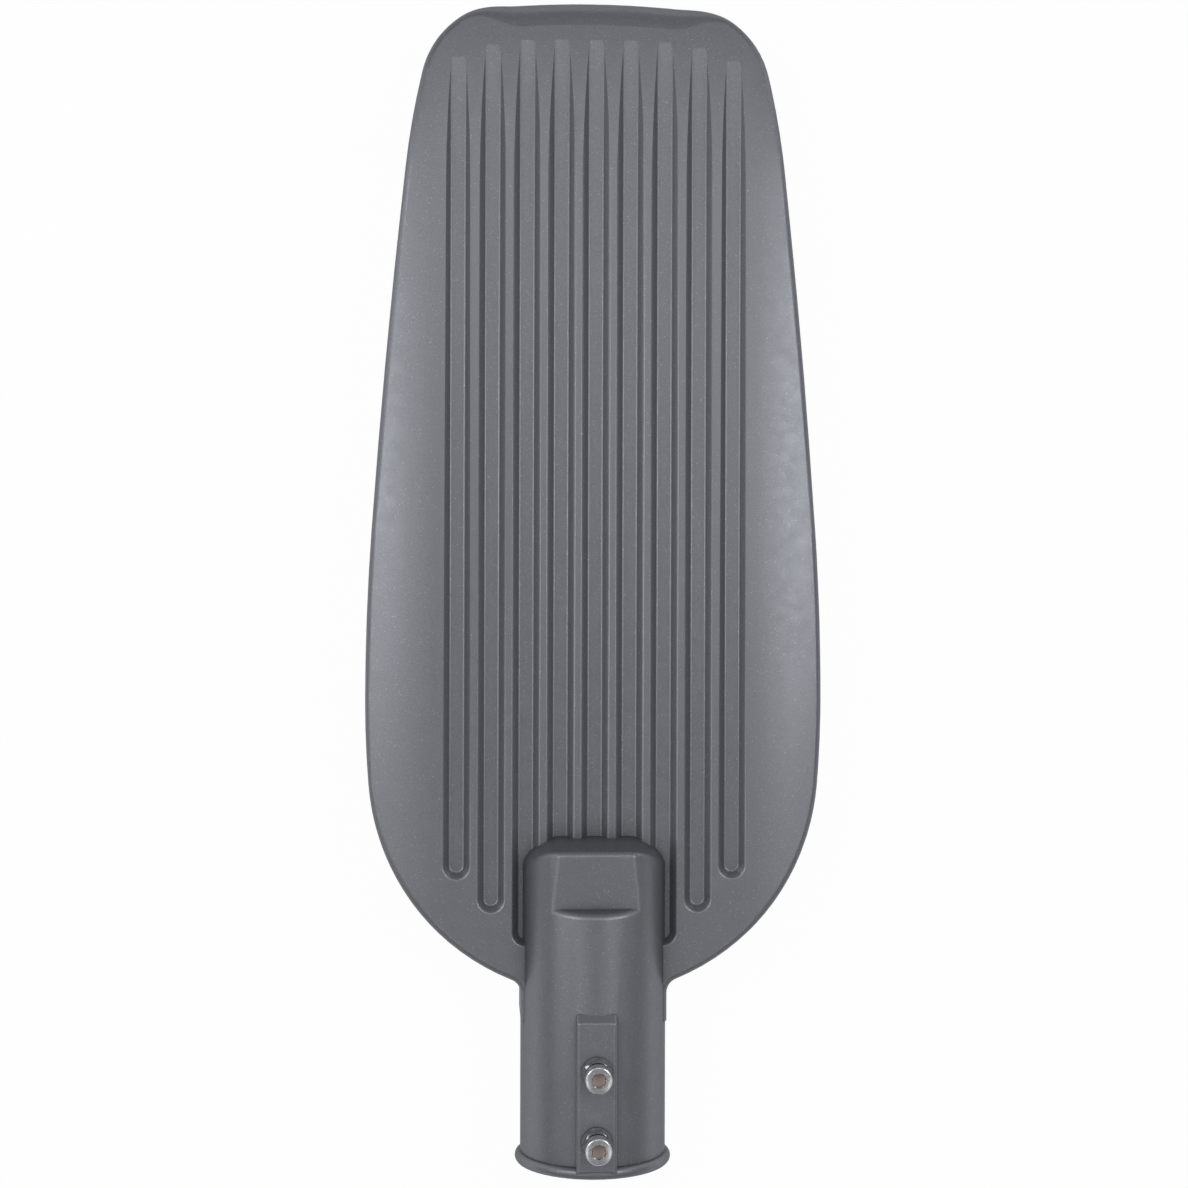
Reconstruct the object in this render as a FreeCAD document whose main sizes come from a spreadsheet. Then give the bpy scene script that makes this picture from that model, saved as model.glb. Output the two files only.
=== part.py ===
"""LED street light head with a 60 mm pole spigot. Millimetres, +Y towards the tip, +Z up.

The origin is the centre of the spigot mouth, on the axis of the bore.
"""
import FreeCAD, Part
import math
import os
from types import SimpleNamespace

import Sketcher
from FreeCAD import Placement, Rotation, Vector

doc = FreeCAD.newDocument("street_light_head")

# Driving dimensions

SIZES = {
    # plan outline of the casting, a chain of tangent arcs
    "head_length": 589.0,
    "half_width": 115.5,
    "widest_y": 234.0,
    "side_radius": 1210.0,
    "side_end_y": 319.0,
    "flank_radius": 4500.0,
    "flank_end_y": "head_length - 86",
    "shoulder_radius": 412.0,
    "corner_radius": 47.0,
    "tip_radius": 483.0,
    "hip_radius": 508.0,
    "hip_end_y": 191.0,
    "rear_radius": 116.0,
    "tube_blend_radius": 7.5,
    "foot_run": 14.0,
    # top: level across the grooves, curved down along both sides
    "crown_top": 12.0,
    "crown_level": 76.0,
    "crown_radius": 150.0,
    "bend_start": "head_length - 94",
    "bend_radius": 720.0,
    "nose_round": 16.0,
    "side_round": 3.5,
    # rims underneath
    "bay_rim": -36.0,
    "optic_rim": -22.0,
    "rim_step_y": 250.0,
    "rim_step_run": 6.0,
    "rim_round": 1.2,
    # grooves of the top
    "groove_pitch": 17.35,
    "groove_depth": 3.6,
    "groove_floor": 5.7,
    "groove_floor_round": 1.5,
    "groove_wall_angle": 48.0,
    "groove_shoulder_round": 2.0,
    "groove_lip_angle": 12.0,
    "groove_lip_rise": 0.5,
    "groove_tip_rise": 0.0005,
    "groove_foot_x": "groove_floor / 2 + groove_floor_round * sin(groove_wall_angle)",
    "groove_foot_z": "-groove_depth + groove_floor_round * (1 - cos(groove_wall_angle))",
    "groove_crest_z": "-groove_shoulder_round * (cos(groove_lip_angle) - cos(groove_wall_angle))",
    "groove_crest_x": "groove_foot_x + (groove_crest_z - groove_foot_z) / tan(groove_wall_angle)",
    "groove_brim_x": "groove_crest_x + groove_shoulder_round * (sin(groove_wall_angle) - sin(groove_lip_angle))",
    "groove_outer_x": "groove_brim_x + groove_lip_rise / tan(groove_lip_angle)",
    "groove_rear_mid": 83.7,
    "groove_rear_step": 16.8,
    # spigot tube, bead and hood
    "tube_radius": 36.8,
    "bore_radius": 31.0,
    "bore_depth": 100.0,
    "bead_radius": 3.0,
    "bead_sink": 0.3,
    "chamber_radius": 22.0,
    "chamber_depth": 14.0,
    "end_wall": 4.0,
    "hood_front": 165.6,
    "hood_base_z": 8.0,
    "hood_half_width": 37.4,
    "hood_corner": 21.0,
    "hood_draft": 14.0,
    "hood_wall": 3.6,
    "hood_round": 3.0,
    "facet_height": 29.7,
    "facet_tilt": 4.5,
    "facet_rear": 131.7,
    "facet_step_run": 2.4,
    # bolt pad
    "bolt_pad_width": 20.2,
    "bolt_pad_top": 39.5,
    "bolt_pad_end": 81.0,
    "bolt_pad_ramp": 4.0,
    "bolt_pad_round": 1.8,
    "boss_radius": 7.5,
    "boss_height": 0.8,
    "bolt_outer_y": 18.9,
    "bolt_inner_y": 53.3,
    # clamp bolts and lock nuts
    "bolt_radius": 4.0,
    "bolt_clearance": 0.1,
    "bolt_length": 16.0,
    "bolt_head_radius": 6.5,
    "bolt_head_height": 8.0,
    "bolt_head_chamfer": 0.8,
    "bolt_head_gap": 2.7,
    "bolt_socket_flats": 6.0,
    "bolt_socket_depth": 4.0,
    "nut_flats": 13.0,
    "nut_height": 6.5,
    "nut_outer_turn": 8.0,
    "nut_inner_turn": 24.0,
    # walls, ledges and bays
    "lip_wall": 3.0,
    "bay_ledge": 3.5,
    "optic_ledge": 9.5,
    "web": 3.0,
    "cover_recess": 6.8,
    "optic_recess": 9.3,
    "seat_gap": 0.3,
    "lead_hole_radius": 3.0,
    "lead_x": "-(half_width - 26.5)",
    "lead_radius": 2.0,
    "lead_start_z": "driver_top_z - 2.5",
    "lead_hole_z": "lead_start_z + 0.43 * (pedestal_z - pad_thickness - board_thickness"
                   " - connector_height / 2 - lead_start_z)",
    # led board and optics
    "pedestal_z": -7.5,
    "pedestal_margin": 1.5,
    "board_width": 118.0,
    "board_rear_y": "rim_step_y + 34",
    "board_length": "head_length - 73 - board_rear_y",
    "board_centre_y": "board_rear_y + board_length / 2",
    "board_thickness": 1.6,
    "board_screw_inset": 5.0,
    "board_screw_radius": 1.5,
    "pad_thickness": 0.5,
    "chip_size": 3.5,
    "chip_height": 0.9,
    "chip_columns": 4,
    "chip_rows": 8,
    "chip_pitch_x": 26.0,
    "chip_pitch_y": "(board_length - 43) / 7",
    "lens_sheet": 2.5,
    "dome_radius": 9.0,
    "dome_height": 5.0,
    "gasket_thickness": 1.5,
    "gasket_width": 2.7,
    "frame_thickness": 2.5,
    "frame_screw_inset": 6.4,
    "frame_screw_rear": 21.0,
    "frame_screw_front": 44.0,
    "frame_side_screws": 4,
    "rear_screw_x": "half_width / 2 - 1.75",
    "tip_screw_x": 24.0,
    "screw_radius": 1.75,
    "screw_clearance": 0.15,
    "screw_head_radius": 2.9,
    "screw_head_height": 2.0,
    "screw_length": 12.0,
    "inner_screw_length": 5.0,
    "board_screw_length": 8.0,
    "board_screw_head": 2.8,
    "screw_socket_flats": 2.5,
    "screw_socket_depth": 1.2,
    # driver cover
    "cover_thickness": 2.5,
    "cover_screw_inset": 6.5,
    "cover_screw_rear": 22.0,
    "cover_screw_front": 14.0,
    "cover_side_screws": 3,
    "cover_gasket_width": 2.2,
    # driver and what is wired in its bay
    "driver_length": "half_width + 30.5",
    "driver_width": 58.0,
    "driver_height": 24.0,
    "driver_centre_y": 207.0,
    "driver_top_z": -4.5,
    "driver_cap": 9.0,
    "driver_flange": 9.0,
    "driver_flange_width": 14.0,
    "driver_flange_thickness": 2.0,
    "driver_wire_in": 12.0,
    "driver_wire_out": 16.0,
    "terminal_x": "half_width - 43.5",
    "terminal_y": 154.0,
    "terminal_length": 40.0,
    "terminal_width": 17.0,
    "terminal_height": 16.0,
    "terminal_top_z": -10.0,
    "terminal_ways": 4,
    "terminal_way_rise": 10.0,
    "terminal_well_radius": 2.6,
    "terminal_entry_radius": 1.8,
    "terminal_screw_radius": 2.3,
    "terminal_screw_rise": 3.9,
    "terminal_screw_height": 3.0,
    "terminal_slot": 0.8,
    "surge_x": "-(half_width - 59.5)",
    "surge_y": 148.0,
    "surge_length": 36.0,
    "surge_width": 27.0,
    "surge_height": 20.0,
    "surge_top_z": -8.0,
    "surge_round": 2.0,
    # cable gland in the end wall
    "gland_thread_radius": 9.9,
    "gland_flats": 24.0,
    "gland_flange": 5.0,
    "gland_thread_inner": 10.0,
    "gland_bore": 6.0,
    "gland_neck": 9.0,
    "gland_locknut": 4.0,
    "gland_seal_bore": 5.0,
    "gland_seal_radius": 7.6,
    "gland_seal_length": 8.0,
    "gland_cap_flats": 22.0,
    "gland_cap_grip": 9.0,
    "gland_cap_taper": 6.0,
    # cord clamp, earth screw and their bosses
    "clamp_y": 168.0,
    "clamp_length": 34.0,
    "clamp_width": 8.0,
    "clamp_thickness": 4.0,
    "clamp_top_z": -12.0,
    "clamp_spread": 12.5,
    "clamp_arch": 5.0,
    "inner_boss_radius": 4.5,
    "earth_x": -31.0,
    "earth_top_z": -6.0,
    # connector on the led board
    "connector_x": "-(board_width / 2 - 9)",
    "connector_y": "board_rear_y + 15",
    "connector_length": 12.0,
    "connector_width": 9.0,
    "connector_height": 4.0,
}

sheet = doc.addObject("Spreadsheet::Sheet", "sizes")
for row, (alias, amount) in enumerate(SIZES.items(), start=1):
    sheet.set(f"A{row}", alias.replace("_", " "))
    sheet.setAlias(f"B{row}", alias)
    sheet.set(f"B{row}", f"={amount}")
doc.recompute()
size = SimpleNamespace(**{alias: float(sheet.get(alias)) for alias in SIZES})

ALONG_Y = Rotation(Vector(1, 0, 0), -90)


def value(expression):
    """The present number of an expression over the sheet."""
    return float(sheet.evalExpression(str(expression)))


def bind(thing, **expressions):
    """Binds properties to expressions over the sheet; a double underscore stands for a dot."""
    for name, expression in expressions.items():
        thing.setExpression(name.replace("__", "."), str(expression))
    return thing


def add(kind, name):
    """A new object whose label is its name."""
    thing = doc.addObject(kind, name)
    thing.Label = name
    return thing


# Primitives and booleans

def box(name, x, y, z, length, width, height):
    """A box from its lowest corner."""
    solid = bind(add("Part::Box", name), Length=length, Width=width, Height=height)
    return bind(solid, Placement__Base__x=x, Placement__Base__y=y, Placement__Base__z=z)


def centred_box(name, x, y, z_top, length, width, height):
    """A box centred in plan that hangs down from z_top."""
    return box(name, f"({x}) - ({length}) / 2", f"({y}) - ({width}) / 2", f"({z_top}) - ({height})",
               length, width, height)


def cylinder(name, radius, height, x="0", y="0", z="0", rotation=Rotation()):
    """A cylinder that starts at a point and runs along +Z, or along +Y when turned."""
    solid = bind(add("Part::Cylinder", name), Radius=radius, Height=height)
    solid.Placement = Placement(Vector(), rotation)
    return bind(solid, Placement__Base__x=x, Placement__Base__y=y, Placement__Base__z=z)


def hexagon(name, flats, height, x="0", y="0", z="0", rotation=Rotation()):
    """A hexagonal prism given by its width across flats."""
    solid = add("Part::Prism", name)
    solid.Polygon = 6
    bind(solid, Circumradius=f"({flats}) / sqrt(3)", Height=height)
    solid.Placement = Placement(Vector(), rotation)
    return bind(solid, Placement__Base__x=x, Placement__Base__y=y, Placement__Base__z=z)


def fuse(name, *shapes):
    joined = add("Part::MultiFuse", name)
    joined.Shapes = list(shapes)
    joined.Refine = True
    return joined


def common(name, *shapes):
    shared = add("Part::MultiCommon", name)
    shared.Shapes = list(shapes)
    shared.Refine = True
    return shared


def cut(name, base, *tools):
    """The base less its tools, which are joined first when there are several."""
    tool = tools[0] if len(tools) == 1 else fuse(name + "_tools", *tools)
    rest = add("Part::Cut", name)
    rest.Base = base
    rest.Tool = tool
    rest.Refine = True
    return rest


def group(name, solids):
    """Separate solids that share one node."""
    gathered = add("Part::Compound", name)
    gathered.Links = list(solids)
    return gathered


def rounded(name, base, radius, choose):
    """The base with those edges rounded that the choice picks out."""
    doc.recompute()
    result = add("Part::Fillet", name)
    result.Base = base
    result.Edges = [(index, radius, radius)
                    for index, edge in enumerate(base.Shape.Edges, start=1) if choose(edge)]
    return result


# Sketches

def sketch_in(body, name, role, offset=None):
    """A sketch on one of the body's own origin planes, moved along its normal."""
    sketch = body.newObject("Sketcher::SketchObject", name)
    plane = next(feature for feature in body.Origin.OriginFeatures if feature.Role == role)
    sketch.AttachmentSupport = (plane, [""])
    sketch.MapMode = "FlatFace"
    if offset is not None:
        bind(sketch, AttachmentOffset__Base__z=offset)
    doc.recompute()
    return sketch


def hold(sketch, kind, *where, to):
    """A dimension of a sketch, bound to an expression."""
    index = sketch.addConstraint(Sketcher.Constraint(kind, *where, value(to)))
    sketch.setExpression(f"Constraints[{index}]", str(to))


def hold_point(sketch, edge, end, x=None, y=None):
    """Fixes one end of an edge to expressions of the sketch's own axes."""
    if x is not None:
        hold(sketch, "DistanceX", -1, 1, edge, end, to=x)
    if y is not None:
        hold(sketch, "DistanceY", -1, 1, edge, end, to=y)


def polygon(sketch, corners):
    """A closed outline of straight runs through corners given as expressions."""
    points = [Vector(value(x), value(y), 0) for x, y in corners]
    first = sketch.GeometryCount
    for here, there in zip(points, points[1:] + points[:1]):
        sketch.addGeometry(Part.LineSegment(here, there), False)
    last = first + len(points) - 1
    for edge in range(first, last):
        sketch.addConstraint(Sketcher.Constraint("Coincident", edge, 2, edge + 1, 1))
    sketch.addConstraint(Sketcher.Constraint("Coincident", last, 2, first, 1))
    for edge, (x, y) in enumerate(corners, start=first):
        hold_point(sketch, edge, 1, x, y)


def profile_body(name, role, corners, offset=None):
    """A body that holds one closed profile, and the profile's sketch."""
    body = add("PartDesign::Body", name)
    sketch = sketch_in(body, name + "_profile", role, offset)
    polygon(sketch, corners)
    return body, sketch


def turned(name, corners, role="XY_Plane"):
    """A body of revolution from (radius, height) corners: about +Y on XY_Plane, about +Z on XZ_Plane."""
    body, sketch = profile_body(name, role, corners)
    spin = body.newObject("PartDesign::Revolution", name + "_turning")
    spin.Profile = sketch
    spin.ReferenceAxis = (sketch, ["V_Axis"])
    spin.Angle = 360
    return body


def extruded(name, role, corners, length, offset=None, both_ways=True):
    """A body that is one profile padded, about its plane or to one side."""
    body, sketch = profile_body(name, role, corners, offset)
    pad = body.newObject("PartDesign::Pad", name + "_pad")
    pad.Profile = sketch
    pad.Midplane = both_ways
    bind(pad, Length=length)
    return body


# Plan outline: tip arc, corners, shoulders, flanks, sides, hips, rear and the blend into the tube

def arc_chain():
    """Centre, radius and end angles of each arc of the +X half, from the blend round to the tip."""
    s = size
    hip_start = math.asin((s.hip_end_y - s.widest_y) / s.hip_radius)
    hip = (s.half_width - s.hip_radius, s.widest_y, s.hip_radius, hip_start, 0.0)
    shrink = s.hip_radius - s.rear_radius
    rear_x = hip[0] + shrink * math.cos(hip_start)
    rear_y = hip[1] + shrink * math.sin(hip_start)
    blend_x = s.tube_radius + s.tube_blend_radius
    reach = s.rear_radius + s.tube_blend_radius
    blend_y = rear_y - math.sqrt(reach ** 2 - (blend_x - rear_x) ** 2)
    rear_start = math.atan2(blend_y - rear_y, blend_x - rear_x)
    blend = (blend_x, blend_y, s.tube_blend_radius, rear_start + math.pi, math.pi)
    rear = (rear_x, rear_y, s.rear_radius, rear_start, hip_start)
    side_end = math.asin((s.side_end_y - s.widest_y) / s.side_radius)
    side = (s.half_width - s.side_radius, s.widest_y, s.side_radius, 0.0, side_end)
    flank_x = side[0] + (s.side_radius - s.flank_radius) * math.cos(side_end)
    flank_y = side[1] + (s.side_radius - s.flank_radius) * math.sin(side_end)
    flank_end = math.asin((s.flank_end_y - flank_y) / s.flank_radius)
    flank = (flank_x, flank_y, s.flank_radius, side_end, flank_end)
    shoulder_x = flank_x + (s.flank_radius - s.shoulder_radius) * math.cos(flank_end)
    shoulder_y = flank_y + (s.flank_radius - s.shoulder_radius) * math.sin(flank_end)
    tip_y = s.head_length - s.tip_radius
    from_shoulder = s.shoulder_radius - s.corner_radius
    from_tip = s.tip_radius - s.corner_radius
    apart = math.hypot(shoulder_x, tip_y - shoulder_y)
    along = (from_shoulder ** 2 - from_tip ** 2 + apart ** 2) / (2 * apart)
    aside = math.sqrt(from_shoulder ** 2 - along ** 2)
    ux, uy = -shoulder_x / apart, (tip_y - shoulder_y) / apart
    corner_x, corner_y = max(((shoulder_x + along * ux - turn * aside * uy,
                               shoulder_y + along * uy + turn * aside * ux) for turn in (-1, 1)),
                             key=lambda centre: centre[1])
    shoulder_end = math.atan2(corner_y - shoulder_y, corner_x - shoulder_x)
    corner_end = math.atan2(corner_y - tip_y, corner_x)
    shoulder = (shoulder_x, shoulder_y, s.shoulder_radius, flank_end, shoulder_end)
    corner = (corner_x, corner_y, s.corner_radius, shoulder_end, corner_end)
    return {"blend": blend, "rear": rear, "hip": hip, "side": side, "flank": flank,
            "shoulder": shoulder, "corner": corner, "tip": (0.0, tip_y, s.tip_radius, corner_end)}


CHAIN = arc_chain()


def outline_half_width(y, inset):
    """Half the width at y of the outline moved inwards by inset."""
    for name in ("rear", "hip", "side", "flank", "shoulder", "corner"):
        centre_x, centre_y, radius, start, end = CHAIN[name]
        radius -= inset
        if centre_y + radius * math.sin(start) <= y <= centre_y + radius * math.sin(end):
            return centre_x + math.sqrt(radius ** 2 - (y - centre_y) ** 2)
    raise ValueError(f"the outline has no side at y = {y}")


def plan_sketch():
    """The closed plan outline, with every radius and junction bound to the sheet."""
    sketch = add("Sketcher::SketchObject", "plan_outline")
    tip_x, tip_y, tip_radius, tip_start = CHAIN["tip"]
    tip = sketch.addGeometry(Part.ArcOfCircle(Part.Circle(Vector(tip_x, tip_y, 0), Vector(0, 0, 1), tip_radius),
                                              tip_start, math.pi - tip_start), False)
    hold(sketch, "Radius", tip, to="sizes.tip_radius")
    hold(sketch, "DistanceX", -1, 1, tip, 3, to="0")
    hold(sketch, "DistanceY", -1, 1, tip, 3, to="sizes.head_length - sizes.tip_radius")
    feet = []
    for sign in (1, -1):
        head, tail = (1, 2) if sign > 0 else (2, 1)
        edges = {}
        for name in ("blend", "rear", "hip", "side", "flank", "shoulder", "corner"):
            centre_x, centre_y, radius, start, end = CHAIN[name]
            if sign < 0:
                start, end = math.pi - end, math.pi - start
            circle = Part.Circle(Vector(sign * centre_x, centre_y, 0), Vector(0, 0, 1), radius)
            edges[name] = sketch.addGeometry(Part.ArcOfCircle(circle, start, end), False)
            alias = {"blend": "tube_blend"}.get(name, name)
            hold(sketch, "Radius", edges[name], to=f"sizes.{alias}_radius")
        foot_top = Vector(sign * size.tube_radius, CHAIN["blend"][1], 0)
        foot_end = Vector(sign * size.tube_radius, foot_top.y - size.foot_run, 0)
        foot = sketch.addGeometry(Part.LineSegment(foot_end, foot_top), False)
        feet.append(foot)
        for one, other in (("rear", "hip"), ("side", "flank"), ("flank", "shoulder"), ("shoulder", "corner")):
            sketch.addConstraint(Sketcher.Constraint("Tangent", edges[one], tail, edges[other], head))
        sketch.addConstraint(Sketcher.Constraint("Tangent", edges["blend"], head, edges["rear"], head))
        sketch.addConstraint(Sketcher.Constraint("Tangent", edges["blend"], tail, foot, 2))
        sketch.addConstraint(Sketcher.Constraint("Tangent", edges["corner"], tail, tip, head))
        sketch.addConstraint(Sketcher.Constraint("Coincident", edges["hip"], tail, edges["side"], head))
        hold_point(sketch, edges["side"], 3, f"{sign} * (sizes.half_width - sizes.side_radius)", "sizes.widest_y")
        hold_point(sketch, edges["side"], head, y="sizes.widest_y")
        hold_point(sketch, edges["hip"], 3, y="sizes.widest_y")
        hold_point(sketch, edges["side"], tail, y="sizes.side_end_y")
        hold_point(sketch, edges["flank"], tail, y="sizes.flank_end_y")
        hold_point(sketch, edges["hip"], head, y="sizes.hip_end_y")
        hold_point(sketch, foot, 1, x=f"{sign} * sizes.tube_radius")
        hold(sketch, "DistanceY", foot, 1, foot, 2, to="sizes.foot_run")
        sketch.addConstraint(Sketcher.Constraint("Vertical", foot))
    closing_y = CHAIN["blend"][1] - size.foot_run
    closing = sketch.addGeometry(Part.LineSegment(Vector(-size.tube_radius, closing_y, 0),
                                                  Vector(size.tube_radius, closing_y, 0)), False)
    sketch.addConstraint(Sketcher.Constraint("Coincident", closing, 1, feet[1], 1))
    sketch.addConstraint(Sketcher.Constraint("Coincident", closing, 2, feet[0], 1))
    return sketch


def plan_prism(name, inset, low, high):
    """The plan outline moved inwards by inset, as a prism between two heights."""
    source = PLAN
    if inset != "0":
        source = add("Part::Offset2D", name + "_inset")
        source.Source = PLAN
        bind(source, Value=f"-({inset})")
    prism = add("Part::Extrusion", name)
    prism.Base = source
    prism.DirMode = "Custom"
    prism.Dir = Vector(0, 0, 1)
    prism.Solid = True
    return bind(prism, LengthFwd=high, LengthRev=f"-({low})")


def crown_block(name, sink):
    """Everything below the crowned top moved down by sink: level at first, then bending to the tip."""
    body = add("PartDesign::Body", name)
    sketch = sketch_in(body, name + "_profile", "XZ_Plane", "-sizes.bend_start")
    half = 1.2 * size.half_width
    level_z = value(f"sizes.crown_top - ({sink})")
    radius = value(f"sizes.crown_radius - ({sink})")
    level, centre_z = size.crown_level, size.crown_top - size.crown_radius
    lean = math.acos((half - level) / radius)
    edge_z = centre_z + radius * math.sin(lean)
    foot_z = 2 * size.bay_rim
    z_axis = Vector(0, 0, 1)
    right = Part.Circle(Vector(level, centre_z, 0), z_axis, radius)
    left = Part.Circle(Vector(-level, centre_z, 0), z_axis, radius)
    for piece in (Part.ArcOfCircle(right, lean, math.pi / 2),
                  Part.LineSegment(Vector(level, level_z, 0), Vector(-level, level_z, 0)),
                  Part.ArcOfCircle(left, math.pi / 2, math.pi - lean),
                  Part.LineSegment(Vector(-half, edge_z, 0), Vector(-half, foot_z, 0)),
                  Part.LineSegment(Vector(-half, foot_z, 0), Vector(half, foot_z, 0)),
                  Part.LineSegment(Vector(half, foot_z, 0), Vector(half, edge_z, 0))):
        sketch.addGeometry(piece, False)
    sketch.addConstraint(Sketcher.Constraint("Tangent", 0, 2, 1, 1))
    sketch.addConstraint(Sketcher.Constraint("Tangent", 1, 2, 2, 1))
    for one, other in ((2, 3), (3, 4), (4, 5), (5, 0)):
        sketch.addConstraint(Sketcher.Constraint("Coincident", one, 2, other, 1))
    hold(sketch, "Radius", 0, to=f"sizes.crown_radius - ({sink})")
    hold_point(sketch, 0, 3, "sizes.crown_level", "sizes.crown_top - sizes.crown_radius")
    hold(sketch, "Radius", 2, to=f"sizes.crown_radius - ({sink})")
    hold_point(sketch, 2, 3, x="-sizes.crown_level")
    sketch.addConstraint(Sketcher.Constraint("Horizontal", 1))
    hold_point(sketch, 3, 2, "-1.2 * sizes.half_width", "2 * sizes.bay_rim")
    hold_point(sketch, 4, 2, "1.2 * sizes.half_width", "2 * sizes.bay_rim")
    sketch.addConstraint(Sketcher.Constraint("Vertical", 3))
    sketch.addConstraint(Sketcher.Constraint("Vertical", 5))
    axis_z = size.crown_top - size.bend_radius
    axis = sketch.addGeometry(Part.LineSegment(Vector(-half, axis_z, 0), Vector(half, axis_z, 0)), True)
    hold_point(sketch, axis, 1, "-1.2 * sizes.half_width", "sizes.crown_top - sizes.bend_radius")
    hold_point(sketch, axis, 2, "1.2 * sizes.half_width", "sizes.crown_top - sizes.bend_radius")
    level = body.newObject("PartDesign::Pad", name + "_level")
    level.Profile = sketch
    bind(level, Length="sizes.bend_start")
    bend = body.newObject("PartDesign::Revolution", name + "_bend")
    bend.Profile = sketch
    bend.ReferenceAxis = (sketch, ["Axis0"])
    bend.Reversed = True
    bind(bend, Angle="asin((sizes.head_length + 30 - sizes.bend_start) / sizes.bend_radius)")
    return body


def groove_cutter(place):
    """The tool of one groove: a drafted channel with a round rear end."""
    s = size
    wall, lip = math.radians(s.groove_wall_angle), math.radians(s.groove_lip_angle)
    floor_round, shoulder_round = s.groove_floor_round, s.groove_shoulder_round
    deep = -s.groove_depth
    flat = s.groove_floor / 2
    foot = Vector(flat + floor_round * math.sin(wall), deep + floor_round * (1 - math.cos(wall)), 0)
    crest_z = -shoulder_round * (math.cos(lip) - math.cos(wall))
    crest = Vector(foot.x + (crest_z - foot.y) / math.tan(wall), crest_z, 0)
    round_centre = Vector(crest.x + shoulder_round * math.sin(wall), crest_z - shoulder_round * math.cos(wall), 0)
    brim = Vector(round_centre.x - shoulder_round * math.sin(lip), 0, 0)
    outer = Vector(brim.x + s.groove_lip_rise / math.tan(lip), brim.y + s.groove_lip_rise, 0)
    top = Vector(outer.x, deep + 4 * s.groove_depth, 0)
    z_axis = Vector(0, 0, 1)
    floor_circle = Part.Circle(Vector(flat, deep + floor_round, 0), z_axis, floor_round)
    shoulder_circle = Part.Circle(round_centre, z_axis, shoulder_round)
    quarter = math.pi / 2
    half = [Part.LineSegment(Vector(0, deep, 0), Vector(flat, deep, 0)),
            Part.ArcOfCircle(floor_circle, -quarter, wall - quarter),
            Part.LineSegment(foot, crest),
            Part.ArcOfCircle(shoulder_circle, quarter + lip, quarter + wall),
            Part.LineSegment(brim, outer),
            Part.LineSegment(outer, top),
            Part.LineSegment(top, Vector(0, top.y, 0)),
            Part.LineSegment(Vector(0, top.y, 0), Vector(0, deep, 0))]
    name = f"groove_cutter_{place + 5}"
    body = add("PartDesign::Body", name)
    section = sketch_in(body, name + "_section", "XZ_Plane")
    for piece in half:
        section.addGeometry(piece, False)
    ends = (1, 2), (1, 2), (1, 2), (2, 1), (1, 2), (1, 2), (1, 2), (1, 2)
    for index, (_, end) in enumerate(ends):
        after = (index + 1) % len(ends)
        section.addConstraint(Sketcher.Constraint("Coincident", index, end, after, ends[after][0]))
    hold(section, "Radius", 1, to="sizes.groove_floor_round")
    hold(section, "Radius", 3, to="sizes.groove_shoulder_round")
    for edge, end, x, z in ((0, 1, "0", "-sizes.groove_depth"),
                            (0, 2, "sizes.groove_floor / 2", "-sizes.groove_depth"),
                            (2, 1, "sizes.groove_foot_x", "sizes.groove_foot_z"),
                            (2, 2, "sizes.groove_crest_x", "sizes.groove_crest_z"),
                            (4, 1, "sizes.groove_brim_x", "0"),
                            (5, 1, "sizes.groove_outer_x", "sizes.groove_lip_rise"),
                            (6, 1, "sizes.groove_outer_x", "3 * sizes.groove_depth"),
                            (7, 1, "0", "3 * sizes.groove_depth")):
        hold_point(section, edge, end, x, z)
    rear = f"(sizes.groove_rear_mid + {abs(place)} * sizes.groove_rear_step)"
    run = body.newObject("PartDesign::Pad", name + "_run")
    run.Profile = section
    run.Reversed = True
    bind(run, Length=f"sizes.head_length + 10 - {rear}")
    both = body.newObject("PartDesign::Mirrored", name + "_both_sides")
    both.Originals = [run]
    both.MirrorPlane = (section, ["V_Axis"])
    body.Tip = both
    end = body.newObject("PartDesign::Revolution", name + "_end")
    end.Profile = section
    end.ReferenceAxis = (section, ["V_Axis"])
    end.Angle = 360
    rise = f"{place ** 4} * sizes.groove_tip_rise"
    return bind(body, Placement=f"placement(vector({place} * sizes.groove_pitch; {rear}; sizes.crown_top);"
                                f" rotation(vector(1; 0; 0); {rise}))")



PLAN = plan_sketch()
doc.recompute()
TIP_END_Y = CHAIN["tip"][1] + size.tip_radius * math.sin(CHAIN["tip"][3])


# Housing: one casting

def top_edge_rounds(solid):
    """The edges round the crowned top with their radii: large over the nose, small along the sides."""
    rounds = []
    for index, edge in enumerate(solid.Shape.Edges, start=1):
        bounds = edge.BoundBox
        upright = bounds.ZLength > 20
        at_rim = bounds.ZMin < size.optic_rim
        crossing = min(bounds.XLength, bounds.YLength) < 0.01
        in_tube = bounds.YMax < CHAIN["blend"][1] + 0.01
        if upright or at_rim or crossing or in_tube:
            continue
        ends = []
        for vertex in (edge.firstVertex(), edge.lastVertex()):
            at_tip = abs(vertex.Point.y - TIP_END_Y) < 0.5
            ends.append(size.nose_round if at_tip else size.side_round)
        rounds.append((index, *ends))
    return rounds


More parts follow.
